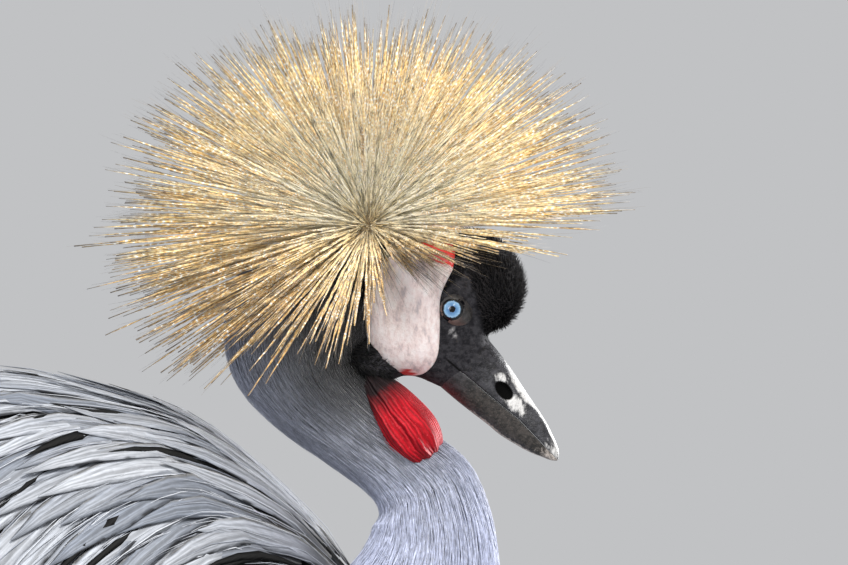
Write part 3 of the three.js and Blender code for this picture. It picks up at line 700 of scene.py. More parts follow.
def crown_ways(tried):
    """Ways spread evenly over the crown's dome, as far down as its rim."""
    lowest = math.cos(math.radians(CROWN_LOWEST))
    i = np.arange(tried)
    tall = 0.995 + (lowest - 0.995) * i / (tried - 1)
    heading = i * GOLDEN + spread(-0.1, 0.1, tried)
    off = np.degrees(np.arccos(np.cos(heading)))
    rim = np.radians(np.interp(off, *zip(*CROWN_RIM)))
    kept = (tall >= np.cos(rim)) & (np.sqrt(1 - tall**2) * abs(np.sin(heading)) < 0.93)
    tall, heading = tall[kept], heading[kept]
    flat = np.sqrt(1 - tall**2)
    return np.stack([flat * np.cos(heading), flat * np.sin(heading), tall], -1)


def low_ways(count):
    """More ways at the crown's foot, to both sides in turn."""
    heading = 40 + 120 * rng.random(count) ** 1.3
    heading = np.radians(heading) * np.where(np.arange(count) % 2, 1, -1)
    polar = np.radians(spread(94, CROWN_LOWEST + 1, count))
    return np.stack([np.sin(polar) * np.cos(heading), np.sin(polar) * np.sin(heading),
                     np.cos(polar)], -1)


def bristle_tints(ways, s):
    """Cream at the root, straw to gold further out, and a dark tip. Low bristles turn browner, their
    roots straw, as painted shade; bristles that point to the sides keep lighter tips, as painted
    glints.
    """
    n, low = len(ways), -ways[:, 2]
    gold = blend((0.93, 0.68, 0.26), (0.98, 0.84, 0.50), rng.random(n))
    gold = blend(gold, (0.74, 0.43, 0.11), 0.8 * rng.random(n) ** 3)
    # low bristles browner and their roots straw rather than cream: painted shade on the crown's
    # underside
    gold = blend(gold, (0.66, 0.40, 0.13), 0.6 * fade(low, 0.0, 0.4))
    cream = blend(CREAM, STRAW, fade(low, -0.12, 0.25))
    tints = blend(cream[:, None], gold[:, None], fade(s, 0.30, 0.85) * np.ones((n, 1)))
    # dark tips, made less dark on bristles that point to the sides: that lightening is a painted
    # glint
    dark_tip = (1 - 0.85 * ways[:, 1:2] ** 2) * fade(s, 0.84, 1.0)
    return blend(tints, (0.10, 0.095, 0.10), dark_tip)


def bristle_gold():
    """Twisted bristles: pale glints, painted highlights, and dark turns, painted shade, that follow
    each other along them.
    """
    material, w = shader("bristle gold", 0.5, Sheen_Weight=0.4)
    _, v, _ = w.vane()
    # a sine along each bristle for its turns: where a turn faces away the colour goes darker, a
    # painted shade that deepens further out
    lit_and_shaded_band = w.math("SINE", w.plus(w.times(v, 190), w.times(w.noise(90, 2), 8)))
    dark = w.mix(w.range(v, 0.35, 0.8), w.tint(), w.shaded(w.tint(), (0.70, 0.50, 0.26)))
    made = w.mix(w.range(lit_and_shaded_band, -1.0, -0.2, 0.25, 1.0), dark, w.tint())
    # pale glints on the crests of the sine: painted highlights
    glint = w.times(w.range(lit_and_shaded_band, 0.5, 0.8), w.range(w.noise(150, 1), 0.50, 0.58))
    made = w.mix(w.times(glint, w.range(v, 0.97, 0.88)), made, (1.0, 0.98, 0.92))
    w.colour(made)
    w.bump(lit_and_shaded_band, 0.25, 0.0003)
    return material


def crown_bristles():
    """The bristles, drawn together in strands; gives back their ways and middle lines."""
    ways = np.vstack([crown_ways(CROWN_TRIED), low_ways(CROWN_LOW)])
    ways = unit(ways + spread(-0.03, 0.03, ways.shape))
    ways = ways[np.abs(ways[:, 1]) < CROWN_WIDEST]
    n, rings = len(ways), 11
    level = 1 - ways[:, 2] ** 2
    length = (98 + 25 * level) * spread(0.82, 1.0, n)
    slope = np.degrees(np.arctan2(ways[:, 2], ways[:, 0]))
    short = np.interp(slope, *zip(*CROWN_SHORT)) * spread(0.86, 1.12, n)
    length = (length * np.where(slope < CROWN_SHORT[-1][0], short, 1))[:, None, None]
    s = np.linspace(0, 1, rings)[None, :, None]
    side = unit(np.cross(ways, [0, 0, 1.0]) + 1e-3)
    bend = spread(-3, 3, (n, 1, 1)) * side[:, None] + np.array([0, 0, -3.5]) * level[:, None, None]
    start = 5 + 5 * rng.random((n, 1, 1))
    hubs = crown_ways(CROWN_STRANDS)
    pull = (hubs[np.argmax(ways @ hubs.T, axis=1)] - ways)[:, None] * spread(0.1, 0.5, (n, 1, 1))
    centres = CREST_AT + ways[:, None] * (start + (length - start) * s) \
        + bend * s**2 + pull * length * s**1.4
    turns = spread(0, 6.3, (n, 1)) + np.arange(rings)[None] * spread(0.9, 1.5, (n, 1))
    second = unit(np.cross(ways, side))
    normals = side[:, None] * np.cos(turns)[..., None] + second[:, None] * np.sin(turns)[..., None]
    s = s[..., 0]
    widths = spread(1.15, 1.75, (n, 1)) * np.interp(s, [0, 0.2, 0.7, 1], [0.5, 1, 0.9, 0.35])
    stamp("crown_bristles", centres, normals, widths, widths * 0.55, bristle_tints(ways, s),
          bristle_gold(), bake=bake_round(ways), nodes=("crest",), slot="crest")
    return ways, centres


def crown_hairs(ways, centres, each=2):
    """Fine dark hairs at the bristles' ends."""
    bake = np.repeat(bake_round(ways), each, 0)
    root = np.repeat(centres[:, -3], each, 0)
    n = len(root)
    way = unit(np.repeat(ways, each, 0) + spread(-0.05, 0.05, (n, 3)))
    s = np.linspace(0, 1, 4)[None, :, None]
    reach = spread(18, 28, (n, 1, 1))
    hair = root[:, None] + way[:, None] * reach * s + spread(-1.5, 1.5, (n, 1, 3)) * s**2
    facing = np.broadcast_to(unit(np.cross(way, [0.3, 1, 0.2]))[:, None], hair.shape)
    taper = (1 - 0.7 * s[..., 0]) * np.ones((n, 1))
    tone = blend((0.05, 0.055, 0.07), (0.30, 0.22, 0.12), rng.random(n) ** 2)
    stamp("crown_hairs", hair, facing, 0.26 * taper, 0.2 * taper,
          np.repeat(tone[:, None], 4, 1), hairy("crown hair"), ring="hair", bake=bake, slot="crest")


def crown_down(n):
    """Short pale down where all the bristles start, fullest on the two sides."""
    way = unit(rng.normal(size=(n, 3)) * [1, 1.25, 1])
    s = np.linspace(0, 1, 4)[None, :, None]
    down = CREST_AT + way[:, None] * (5 + spread(10, 34, (n, 1, 1)) * s) \
        + spread(-1.6, 1.6, (n, 1, 3)) * s**2
    facing = np.broadcast_to(unit(np.cross(way, [0.3, 0.4, 1]))[:, None], down.shape)
    widths = spread(0.45, 0.75, (n, 1)) * (1 - 0.75 * s[..., 0])
    tone = blend(CREAM, (0.95, 0.76, 0.42), rng.random(n))
    stamp("crown_down", down, facing, widths, widths * 0.7, np.repeat(tone[:, None], 4, 1),
          hairy("crown down", 0.6, 0.3, 0.15), ring="hair", bake=bake_round(way), slot="crest")


def crown_root():
    look, w = shader("bristle roots", 0.7)
    w.colour(w.mix(w.noise(900, 3), (0.42, 0.28, 0.13), (0.85, 0.72, 0.48)))
    w.bump(w.noise(1400, 2), 0.6, 0.001)
    piece("crown_root", ball(CREST_AT, np.full(3, 10.0)), look, slot="crest")


crown_hairs(*crown_bristles())
crown_down(CROWN_DOWN)
crown_root()


# Black plush of the head
def inside(outline, x, z):
    found = np.zeros(x.shape, bool)
    for (x1, z1), (x2, z2) in zip(outline, np.roll(outline, -1, 0)):
        crosses = (z1 > z) != (z2 > z)
        at = x1 + (z - z1) * (x2 - x1) / (z2 - z1 if z2 != z1 else 1e-9)
        found ^= crosses & (x < at)
    return found


def curved(outline, n=160):
    return catmull(np.vstack([outline, outline[:1]]), np.linspace(0, 1, n, endpoint=False))


CHEEK_LINE = curved(CHEEK)


def plush(name, roots, normals, way, lengths, widths, tints, bake):
    """Short soft spikes that stand out of the skin and lean along way."""
    n = len(roots)
    s = np.linspace(0, 1, 4)[None, :, None]
    way = unit(way - normals * (way * normals).sum(-1, keepdims=True))
    rise = unit(normals * 0.8 + way * 0.5 + spread(-0.45, 0.45, (n, 3)))
    centres = roots[:, None] + rise[:, None] * lengths[:, None, None] * (s - 0.2) \
        + way[:, None] * lengths[:, None, None] * 0.3 * s**2
    facing = np.broadcast_to(normals[:, None], centres.shape)
    s = s[..., 0]
    taper = np.interp(s, [0, 0.4, 1], [0.9, 1, 0.15])
    stamp(name, centres, facing, widths[:, None] * taper, 0.5 * widths[:, None] * taper,
          np.repeat(tints[:, None], 4, 1), plush_look, ring="hair", bake=bake, slot="velvet")


plush_look = hairy("black plush", 0.75, 0.0, 0.3, 0.16)


def head_plush():
    spots = scatter(HEAD, (0.0, 0.98), ALL_ROUND, (1.55, 1.35))
    point, normal, along = HEAD(spots[:, 0], spots[:, 1], -1.2)
    hx, hy, hz = to_head(point).T
    cheek = inside(CHEEK_LINE, hx, hz) & (np.abs(hy) > 6)
    eye = np.hypot(hx, hz) < 6.4
    kept = ~(cheek | eye | on_face(hx, hz, 0.6) | (hx > 25))
    point, normal, along, spots = point[kept], normal[kept], along[kept], spots[kept]
    n = len(point)
    tint = blend(PLUSH_BLACK, (0.022, 0.02, 0.022), rng.random(n))
    plush("head_plush", point, normal, along, spread(1.6, 2.7, n), spread(0.45, 0.7, n), tint,
          bake_of(spots))


def casque_plush(tufts):
    i = np.arange(tufts)
    tall = 1 - 2 * (i + 0.5) / tufts
    flat = np.sqrt(1 - tall**2)
    way = np.stack([flat * np.cos(i * GOLDEN), flat * np.sin(i * GOLDEN), tall], -1)
    spot = way * (CASQUE_HALF - 2.4) + CASQUE_AT
    kept = (spot[:, 2] > 13.4 - 0.53 * spot[:, 0]) | (spot[:, 0] > 16)
    spot, way = spot[kept], way[kept]
    n = len(spot)
    tint = blend(PLUSH_BLACK, (0.03, 0.027, 0.028), rng.random(n))
    rear = np.array([-1.0, 0, 0.15]) @ TURN_HEAD
    plush("casque_plush", on_head(spot), unit(way / CASQUE_HALF) @ TURN_HEAD,
          np.broadcast_to(rear, spot.shape), spread(2.4, 4.0, n), spread(0.4, 0.7, n), tint,
          bake_round(way, 0.45))


def throat_plush():
    spots = scatter(THROAT, (0.0, 0.97), ALL_ROUND, (1.5, 1.2))
    point, normal, along = THROAT(spots[:, 0], spots[:, 1], -1.5)
    n = len(point)
    plush("throat_plush", point, normal, along, spread(2.4, 4.2, n), spread(0.4, 0.7, n),
          np.full((n, 3), 0.008), bake_of(spots))


head_plush()
casque_plush(7600)
throat_plush()


# Cheeks, eyes
def head_side(x, z, grow=0.0):
    """How far out the head's side is at x and z of its frame."""
    line = HEAD.stations[::-1]
    dense = catmull(line, np.linspace(0, 1, 400))
    cz, high, wide = (np.interp(x, dense[:, 0], dense[:, i]) for i in (2, 3, 4))
    share = np.clip(1 - ((z - cz) / (high + grow)) ** 2, 0.0, 1)
    return (wide + grow) * np.sqrt(share)


RED_FOOT = (0.0094, -0.0362)
cheek_look, w = shader("cheek skin", 0.5, Subsurface_Weight=0.12,
                       Subsurface_Radius=(0.004, 0.0015, 0.001))
pores = w.noise(620, 4, rough=0.65)
veins = w.noise(190, 6, (1.9, 1, 0.8), rough=0.66)
made = w.mix(w.range(veins, 0.40, 0.56), (0.78, 0.71, 0.70), (0.70, 0.57, 0.55))
made = w.mix(w.range(veins, 0.53, 0.66, 0.0, 0.85), made, (0.40, 0.35, 0.37))
made = w.mix(w.range(pores, 0.52, 0.66, 0.0, 0.4), made, (0.58, 0.48, 0.48))
hx, hz = w.head_axes()
strokes = w.noise(300, 3, (0.5, 1, 2.2))
rise = w.plus(w.minus(w.times(hz, 0.87), w.times(hx, 0.49)), w.times(strokes, 0.012))
made = w.mix(w.range(rise, 0.0228, 0.0245), made, (0.62, 0.022, 0.015))
foot = w.plus(w.math("SQRT", w.squares(hx, hz, RED_FOOT)), w.times(strokes, 0.006))
made = w.mix(w.range(foot, 0.0082, 0.0066), made, (0.50, 0.02, 0.018))
w.colour(made)
w.bump(w.plus(pores, w.times(veins, 0.6)), 0.5, 0.0008)


def cheek_patch(word, side):
    """A low cushion inside the cheek's outline, its back sunk in the head."""
    bm = bmesh.new()
    bmesh.ops.create_uvsphere(bm, u_segments=120, v_segments=40, radius=1)
    at = CHEEK_LINE.mean(0)
    rim = CHEEK_LINE - at
    angle = np.arctan2(rim[:, 1], rim[:, 0]) % (2 * math.pi)
    size = np.linalg.norm(rim, axis=1)
    order = np.argsort(angle)
    for v in bm.verts:
        a = math.atan2(v.co.y, v.co.x) % (2 * math.pi)
        far = np.interp(a, angle[order], size[order], period=2 * math.pi)
        reach = far * math.sqrt(max(0.0, 1 - v.co.z**2))
        hx, hz = at[0] + reach * math.cos(a), at[1] + reach * math.sin(a)
        out = 1.7 * min(1, (1.15 * v.co.z) ** 0.7) if v.co.z > 0 else -3.0 * abs(v.co.z)
        v.co = on_head([hx, side * (head_side(hx, hz, -0.6) + out), hz])
    outward(bm)
    piece(f"cheek_patch_{word}", bm, cheek_look, (f"cheek_{word}",), "cheek")


for word, side in SIDES:
    cheek_patch(word, side)

eye_x, _, eye_z = (float(v) for v in place(HEAD_AT))
eye_look, w = shader("eye", 0.15, Specular_IOR_Level=0.3, Coat_Weight=0.15, Coat_Roughness=0.02)
x, _, z = w.axes()
out = w.math("SQRT", w.squares(x, z, (eye_x, eye_z)))
rays = w.noise(1500, 3)
ring = w.plus(w.times(out, 1000), w.times(rays, 0.9))
w.colour(w.ramp(w.math("DIVIDE", ring, 7.0), (0.0, (0.002, 0.002, 0.002)),
                (0.255, (0.002, 0.002, 0.003)), (0.285, (0.12, 0.24, 0.44)),
                (0.33, (0.10, 0.22, 0.42)), (0.45, (0.18, 0.36, 0.60)), (0.56, (0.32, 0.52, 0.74)),
                (0.60, (0.05, 0.08, 0.11)), (0.63, (0.004, 0.004, 0.005))))
w.bump(rays, 0.08, 0.0003)

lid_look, w = shader("lid", 0.55)
x, _, z = w.axes()
low = w.plus(w.minus(eye_z, z), w.times(w.minus(eye_x, x), 0.8))
low = w.plus(low, w.times(w.noise(900, 2), 0.004))
plain = mottled(w, (0.040, 0.037, 0.037), (0.014, 0.013, 0.013), (0.16, 0.12, 0.10), 0.6)
w.colour(w.mix(w.range(low, 0.002, 0.0060, 0.0, 0.7), plain, (0.15, 0.085, 0.070)))
# the lids' outline, as distance from the eye's axis and from the head's middle
LID = [(4.2, 15.6), (4.25, 16.9), (4.6, 17.5), (5.3, 17.55), (6.1, 16.9), (7.0, 15.7), (8.0, 14.2),
       (9.0, 12.7), (9.8, 11.2), (8.0, 11.0), (6.0, 12.5)]


def lids(word, side):
    """The lids' outline spun round the eye, then creased, narrowed and laid back in front."""
    bm = bmesh.new()
    rim = [bm.verts.new((r, out, 0)) for r, out in LID]
    edges = [bm.edges.new((rim[i], rim[(i + 1) % len(rim)])) for i in range(len(rim))]
    bmesh.ops.spin(bm, geom=rim + edges, cent=(0, 0, 0), axis=(0, 1, 0),
                   angle=2 * math.pi, steps=72, use_merge=True, use_duplicate=False)
    for v in bm.verts:
        turn = math.atan2(v.co.z, v.co.x)
        r = math.hypot(v.co.x, v.co.z)
        swell = 1 + (0.03 * math.sin(17 * turn) + 0.02 * math.sin(31 * turn + 1)) * (r < 7)
        narrow = 0.90 + 0.06 * math.cos(2 * turn)
        back = (0.5 if v.co.x > 0 else 0) * r / 6
        v.co = on_head((v.co.x * swell, side * (v.co.y - back), v.co.z * swell * narrow))
    outward(bm)
    piece(f"lids_{word}", bm, lid_look, (), "skull")


for word, side in SIDES:
    eyeball = ball(np.array([0, side * 13.2, 0]), np.full(3, 6.3), 64, 40, head=True)
    piece(f"eyeball_{word}", eyeball, eye_look, (f"eye_{word}",), "iris")
    lids(word, side)


# Bill and wattle
BILL_LINE = np.vstack([BILL.stations, [[7, 0, -12.3, 15.8, 12]]])
# how high up the upper bill the pale ridge starts, as x ahead of the eyes and share of the side
RIDGE = [(24, 1.02), (34, 0.88), (43, 0.70), (52, 0.66), (58, 0.84), (66, .82), (80, .6)]


def pale_horn(above, share, x, z):
    """The share of pale horn at a place of the bill's side."""
    if above:
        start = np.interp(x, *zip(*RIDGE))
        pale = fade(share, start - 0.01, start + 0.15) - 0.9 * (1 - fade(x, 24, 33))
        near = min(math.hypot((x - 50) / 5.5, (z + 7.2) / 3.2),
                   math.hypot((x - 37.3) / 3.0, (z + 4.4) / 2.2))
        pale = max(pale, 1 - fade(near, 0.35, 1.6))
    else:
        pale = fade(share, 0.84, 0.98) * fade(x, 26, 50)
    return max(float(pale), 0.75 * float(fade(x, 66, 78)))


def mandible(above, around=64, rings=130, arc=50):
    """Half of the bill: an arc of its oval over the line of the mouth, and a floor under it.
    Its Tint holds how far a point is from the mouth to the edge, and the pale horn's share."""
    bm = bmesh.new()
    bmesh.ops.create_grid(bm, x_segments=rings + 1, y_segments=around, size=1)
    mask = bm.verts.layers.float_color.new("Tint")
    up = 1 if above else -1
    for v in bm.verts:
        row = round((v.co.x + 1) / 2 * (rings + 1))
        step = round((v.co.y + 1) / 2 * around)
        t = min(max((row - 1) / (rings - 1), 0), 1)
        x, _, cz, high, wide = catmull(BILL_LINE, t)
        line = np.interp(x, MOUTH[:, 0], MOUTH[:, 1]) + 0.07 * up
        edge = math.acos(np.clip((line - cz) / high, -0.97, 0.97))
        if step <= arc:
            a = -edge + 2 * edge * step / arc
            if not above:
                a = edge + (2 * math.pi - 2 * edge) * step / arc
            y, z = wide * math.sin(a), cz + high * math.cos(a)
        else:
            back = (step - arc) / (around - arc)
            y = wide * math.sin(edge if above else 2 * math.pi - edge) * (1 - 2 * back)
            z = line + 0.6 * up * (1 - (2 * back - 1) ** 2) * min(1, high / 8)
        top = cz + high * up
        if row in (0, rings + 1):
            y, z = 0, (line + top) / 2
        share = np.clip((z - line) / (top - line), 0, 1)
        if above and abs(y) > 1.5:
            hollow = ((x - NOSTRIL[0]) / 5.0) ** 2 + ((z - NOSTRIL[1]) / 2.9) ** 2
            if hollow < 1:
                y -= math.copysign(2.8 * (1 - hollow) ** 0.6, y)
            ridge = math.exp(-(((share - 0.16) / 0.05) ** 2)) * fade(x, 20, 34)
            y += math.copysign(0.28 * ridge * min(1, high / 8), y)
        v[mask] = (share, pale_horn(above, share, x, z), 0, 1)
        v.co = (x, y, z)
    bmesh.ops.remove_doubles(bm, verts=bm.verts, dist=1e-4)
    outward(bm)
    for v in bm.verts:
        v.co = on_head(v.co)
    return bm


def bill_look(name, base, dark, pale, horn):
    """Dark horn, pale where Tint says so and near black by the mouth (painted shade in its slit),
    which takes on the face's skin at its root.
    """
    material, w = shader(name, 0.38, Specular_IOR_Level=0.35)
    share, light, _ = w.axes(w.tint())
    grain = w.times(w.minus(w.noise(640, 5, (1, 1, 0.5), rough=0.72), 0.5), 2.4)
    made = w.mix(w.range(w.plus(light, grain), 0.38, 0.98), mottled(w, base, dark, pale), horn)
    # near black right at the mouth's line: painted shade in the slit between the mandibles
    made = w.mix(w.range(share, 0.05, 0.02), made, (0.004, 0.004, 0.004))
    hx, hz = w.head_axes()
    near_face = w.range(w.plus(hx, w.times(w.noise(300, 2), 0.008)), 0.040, 0.026)
    face = mottled(w, FACE_GREY, (0.012, 0.012, 0.013), (0.05, 0.047, 0.05), 0.8)
    return material, w, w.mix(near_face, made, face), hx, hz


upper_look, w, made, hx, hz = bill_look("bill", (0.034, 0.034, 0.039), (0.011, 0.011, 0.013),
                                        (0.10, 0.10, 0.105), (0.45, 0.445, 0.44))
# near black in the nostril's hollow: painted shade in the recess
pit = w.squares(hx, hz, NOSTRIL * MM, (0.0050, 0.0030))
w.colour(w.mix(w.range(pit, 1.15, 0.85), made, (0.003, 0.003, 0.003)))
w.roughness(w.range(pit, 1.2, 0.9, 0.38, 1.0))
w.put(w.body.inputs["Specular IOR Level"],
      w.times(w.range(pit, 1.2, 0.9, 0.35, 0.0), w.range(hx, 0.026, 0.036, 0.1, 1.0)))
lower_look, w, made, hx, hz = bill_look("lower bill", (0.036, 0.031, 0.028), (0.012, 0.011, 0.010),
                                        (0.15, 0.125, 0.105), (0.36, 0.32, 0.29))
w.colour(made)
piece("bill_top", mandible(True), upper_look, ("bill_upper",), "bill")
piece("bill_under", mandible(False), lower_look, ("bill_lower",), "bill")

wattle_look, w = shader("wattle", 0.62, Specular_IOR_Level=0.2, Subsurface_Weight=0.08,
                        Subsurface_Radius=(0.004, 0.001, 0.001))
across, down, _ = w.axes(w.tint())
blotch = w.noise(160, 5, rough=0.6)
fold = w.math("SINE", w.plus(w.times(across, 210), w.times(w.noise(70, 3), 16)))
grain = w.noise(1500, 3)
made = w.mix(w.range(blotch, 0.35, 0.7), (0.42, 0.004, 0.013), (0.26, 0.002, 0.007))
# darker in the troughs of the folds: painted shade in the creases
made = w.mix(w.range(fold, -0.4, -1.0, 0.0, 0.75), made, (0.13, 0.002, 0.004))
made = w.mix(w.range(grain, 0.6, 0.72, 0.0, 0.35), made, (0.85, 0.10, 0.12))
top = w.range(w.plus(down, w.times(blotch, 0.25)), 0.54, 0.34)
made = w.mix(top, made, (0.010, 0.005, 0.006))
w.colour(made)
w.bump(w.plus(fold, w.times(grain, 0.9)), 0.55, 0.0009)


def wattle_mask(points):
    """Round the wattle and down it, for its wrinkles."""
    axis, start = np.array([31.0, 0, -41.2]), np.array([133.0, 0, 558])
    down = (points - start) @ axis / (axis @ axis)
    mid = WATTLE.middle(np.clip(down, 0, 1))
    out = points - mid
    deep = out @ unit(np.cross([0, 1.0, 0], axis))
    turn = np.arctan2(np.abs(out[:, 1]), deep) / math.pi
    return np.stack([turn, down, 0 * down], -1)


piece("wattle_folds", tinted(mesh_of(tube(WATTLE, 200, 70), "wattle_folds"), wattle_mask),
      wattle_look, ("wattle",), "wattle")


# Coat of the neck
neck_look = hairy("neck plumes", 0.55, 0.35, 0.22)


def neck_coat(name, shares, gap, reach, thick):
    spots = scatter(NECK, shares, ALL_ROUND, gap)
    n = len(spots)
    lengths = spread(*reach, n)
    locks = np.sin(spots[:, 1] * 23 + 9 * np.sin(spots[:, 0] * 40)) * 0.0013
    sweep = locks + spread(-0.0024, 0.0024, n)
    high = spread(0.2, 1.3, n)[:, None]
    centres, normals = run(NECK, spots, lengths, sweep, 5,
                           lambda t, turn, s: -2.5 + (1.5 + high) * np.minimum(1, s * 3.2)
                           + 0.9 * s)
    s = np.linspace(0, 1, 5)[None]
    widths = spread(*thick, (n, 1)) * np.interp(s, [0, 0.3, 0.7, 1], [0.8, 1, 0.7, 0.1])
    tints = neck_tint(centres) * spread(0.86, 1.2, (n, 1, 1))
    stamp(name, centres, normals, widths, widths * 0.6, tints, neck_look, ring="hair",
          bake=bake_of(spots), slot="neck")


neck_coat("neck_plumes_upper", (0.0, 0.36), (2.3, 1.05), (18, 30), (0.42, 0.7))
neck_coat("neck_plumes_middle", (0.32, 0.66), (2.2, 0.9), (18, 32), (0.42, 0.7))
neck_coat("neck_plumes_lower", (0.62, 0.93), (3.0, 1.3), (24, 42), (0.5, 0.9))


# Coat of the body
# the silver vanes' edges go near black in patches, a painted contact shadow
silver = barbed("silver vane", 9, 0.6, 0.12, 0.05, 0.15, 0.9, across=3, fleck=0.12, along=0.5)
pale = barbed("pale vane", 22, 0.68, 0.3, 0.2, 0.2)


def body_vanes(name, look, spots, reach, wide, sweep, tint, *, stations=7, ring="vane",
               lift=0.06, over=True, nodes=(), slot="body", camber=0.12, full=0.4, tip=0.05,
               loft=(0.2, 2.2)):
    """Vanes that lie back along the trunk and sweep down its sides, rooted under its skin."""
    n = len(spots)
    lengths = spread(*reach, n)
    high = spread(*loft, n)[:, None]
    around = (spots[:, 1] + math.pi) % (2 * math.pi) - math.pi
    turning = np.sin(around) * sweep * spread(0.8, 1.2, n) + spread(-0.0006, 0.0006, n)
    centres, normals = run(TORSO, spots, lengths, turning, stations,
                           lambda t, turn, s: (wing_rise(t, turn) if over else 0) - 2.5
                           + (2.5 + high) * np.minimum(1, s * 4) + lift * lengths[:, None] * s)
    tip_over = np.cross(normals, unit(np.gradient(centres, axis=1)))
    normals = unit(normals + tip_over * spread(-0.3, 0.3, (n, 1, 1)))
    s = np.linspace(0, 1, stations)[None]
    widths = spread(*wide, (n, 1)) * leaf(s, full=full, tip=tip)
    thicks = 0.55 * np.interp(s, [0, 0.5, 1], [1, 0.9, 0.4]) * np.ones((n, 1))
    colours = tint(centres, spots, s) * spread(0.86, 1.1, (n, 1, 1))
    stamp(name, centres, normals, widths, thicks, colours, look, ring=ring, camber=camber,
          bake=bake_of(spots), nodes=nodes, slot=slot)


def x_share(*xs):
    return tuple(float(v) for v in TORSO.share_at(xs))


def silver_tint(centres, spots, s):
    each = rng.random((len(spots), 1)) ** 1.6
    near_neck = fade(centres[..., 0], 66, 118)
    tone = blend((0.42, 0.44, 0.48), (0.16, 0.18, 0.22), each * np.ones(s.shape))
    tone = blend(tone, (0.16, 0.17, 0.21), near_neck * 0.8)
    # near black toward the root, where each vane lies under its neighbours: painted shade
    return blend(tone, (0.02, 0.022, 0.027), 0.95 * fade(1 - s, 0.62, 0.95))


# near black everywhere: painted shade for vanes that show only in the mantle's gaps
def painted_shade_tint(centres, spots, s):
    return np.full(centres.shape, 0.012)


def white_hair(centres, spots, s):
    tone = blend((0.52, 0.54, 0.58), (0.18, 0.20, 0.25), rng.random(len(spots)) ** 1.2)[:, None]
    return blend(tone * np.ones(s.shape + (1,)), (0.22, 0.235, 0.28),
                 0.8 * fade(centres[..., 0], 66, 118))


# the mantle's under-vanes, coloured near black as painted shade in the gaps between the silver vanes
body_vanes("mantle_undercoat", barbed("painted shade vane", 20, 0.6, 0.3, 0.1, 0.1),
           scatter(TORSO, x_share(130, -96), (-118, 118), (15, 9)), (46, 70), (8, 12), 0.0085,
           painted_shade_tint, lift=0.0, stations=5, ring="blade", loft=(-0.8, 0.0), tip=0.3)
body_vanes("mantle_filaments", hairy("silver filament", 0.5, 0.3, 0.15),
           scatter(TORSO, x_share(128, -90), (-112, 112), (7.5, 4.4)), (34, 70), (0.4, 0.8),
           0.0125, white_hair, lift=0.075, stations=5, ring="hair", camber=0)
body_vanes("mantle_vanes", silver, scatter(TORSO, x_share(130, -76), (-116, 116), (13.5, 10.5)),
           (60, 98), (10.5, 17), 0.0135, silver_tint, nodes=("mantle",), full=0.5)
# black slivers between the mantle's plumes: dark vanes laid over them as painted shadow, where the
# gaps between plumes are in shade
body_vanes("mantle_painted_shadow_slivers",
           barbed("painted shadow vane", 12, 0.7, 0.15, 0.05, 0.0, across=3, gloss=0.08),
           scatter(TORSO, x_share(104, -72), (-104, 104), (27, 19), 0.8), (36, 62), (3, 6.5),
           0.0145, painted_shade_tint, lift=0.085, stations=6, ring="blade", loft=(1.0, 2.8))


def grey_tint(centres, spots, s):
    tone = blend((0.30, 0.31, 0.35), (0.46, 0.47, 0.52), rng.random(len(spots)))[:, None]
    return tone * (0.7 + 0.3 * s)[..., None]


body_vanes("belly_plumes", pale, scatter(TORSO, x_share(146, -246), (84, 276), (12, 9)),
           (36, 56), (8, 12), 0.001, grey_tint, over=False)


def white_tint(centres, spots, s):
    around = np.abs((np.degrees(spots[:, 1]) + 180) % 360 - 180)
    tone = blend((0.80, 0.79, 0.76), (0.86, 0.80, 0.66), rng.random(len(spots)) * 0.7)
    tone = blend(tone, (0.10, 0.035, 0.02), fade(around, 108, 114))
    return tone[:, None] * (0.72 + 0.28 * fade(s, 0, 0.5))[..., None]


for word, side in SIDES:
    turns = sorted((side * 26, side * 120))
    body_vanes(f"wing_coverts_{word}", barbed(f"covert {word}", 30, 0.66, 0.3, 0.25, 0.2),
               scatter(TORSO, x_share(-34, -190), turns, (12.5, 10.5)), (44, 64), (13, 18), 0.003,
               white_tint, nodes=(f"wing_{word}",), slot="wing", stations=6, full=0.55, tip=0.3)


def quills(name, look, fan, side, count, width, thick, tint, nodes, slot, face=(90, 90),
           flat=False, stations=14):
    """A fan of long quills from roots over middles to tips, each lying over the next. fan holds
    the first and last quill's root, middle and tip, and face the two quills' lean in degrees."""
    share = np.linspace(0, 1, count)

    def row(ends):
        first, last = np.array(ends, float)
        return first + (last - first) * share[:, None]

    root, mid, tip = (row(ends) for ends in fan)
    if flat:
        across = 2 * share - 1
        root[:, 1], mid[:, 1], tip[:, 1] = (across * line[:, 1] for line in (root, mid, tip))
        drop = 3.2 * (np.abs(np.arange(count) - (count - 1) / 2) * 9 / count + 0.5 * (across > 0))
        root[:, 2] -= 0.4 * drop
        mid[:, 2] -= drop
        tip[:, 2] -= 1.4 * drop
        tip[:, 0] += 12 * across**2
    else:
        for line in (root, mid, tip):
            line[:, 1] *= side
    tip[:, 0] += spread(-4, 4, count)
    s = np.linspace(0, 1, stations)[None, :, None]
    bow = 2 * mid - (root + tip) / 2
    centres = root[:, None] * (1 - s) ** 2 + bow[:, None] * 2 * s * (1 - s) + tip[:, None] * s**2
    lean = np.radians(face[0] + (face[1] - face[0]) * share)
    normal = np.stack([0 * lean, side * np.sin(lean), np.cos(lean)], -1)[:, None]
    s = s[..., 0]
    widths = width * np.interp(s, [0, 0.12, 0.35, 0.8, 0.95, 1], [0.25, 0.7, 1, 0.9, 0.55, 0.12]) \
        * np.ones((count, 1))
    thicks = thick * (1 - 0.5 * s) * np.ones((count, 1))
    bake = np.stack([0.2 + 0.5 * share, np.full(count, 0.5)], -1)
    stamp(name, centres, np.broadcast_to(normal, centres.shape), widths, thicks, tint(share, s),
          look, ring="vane", camber=0.1, bake=bake, nodes=nodes, slot=slot)


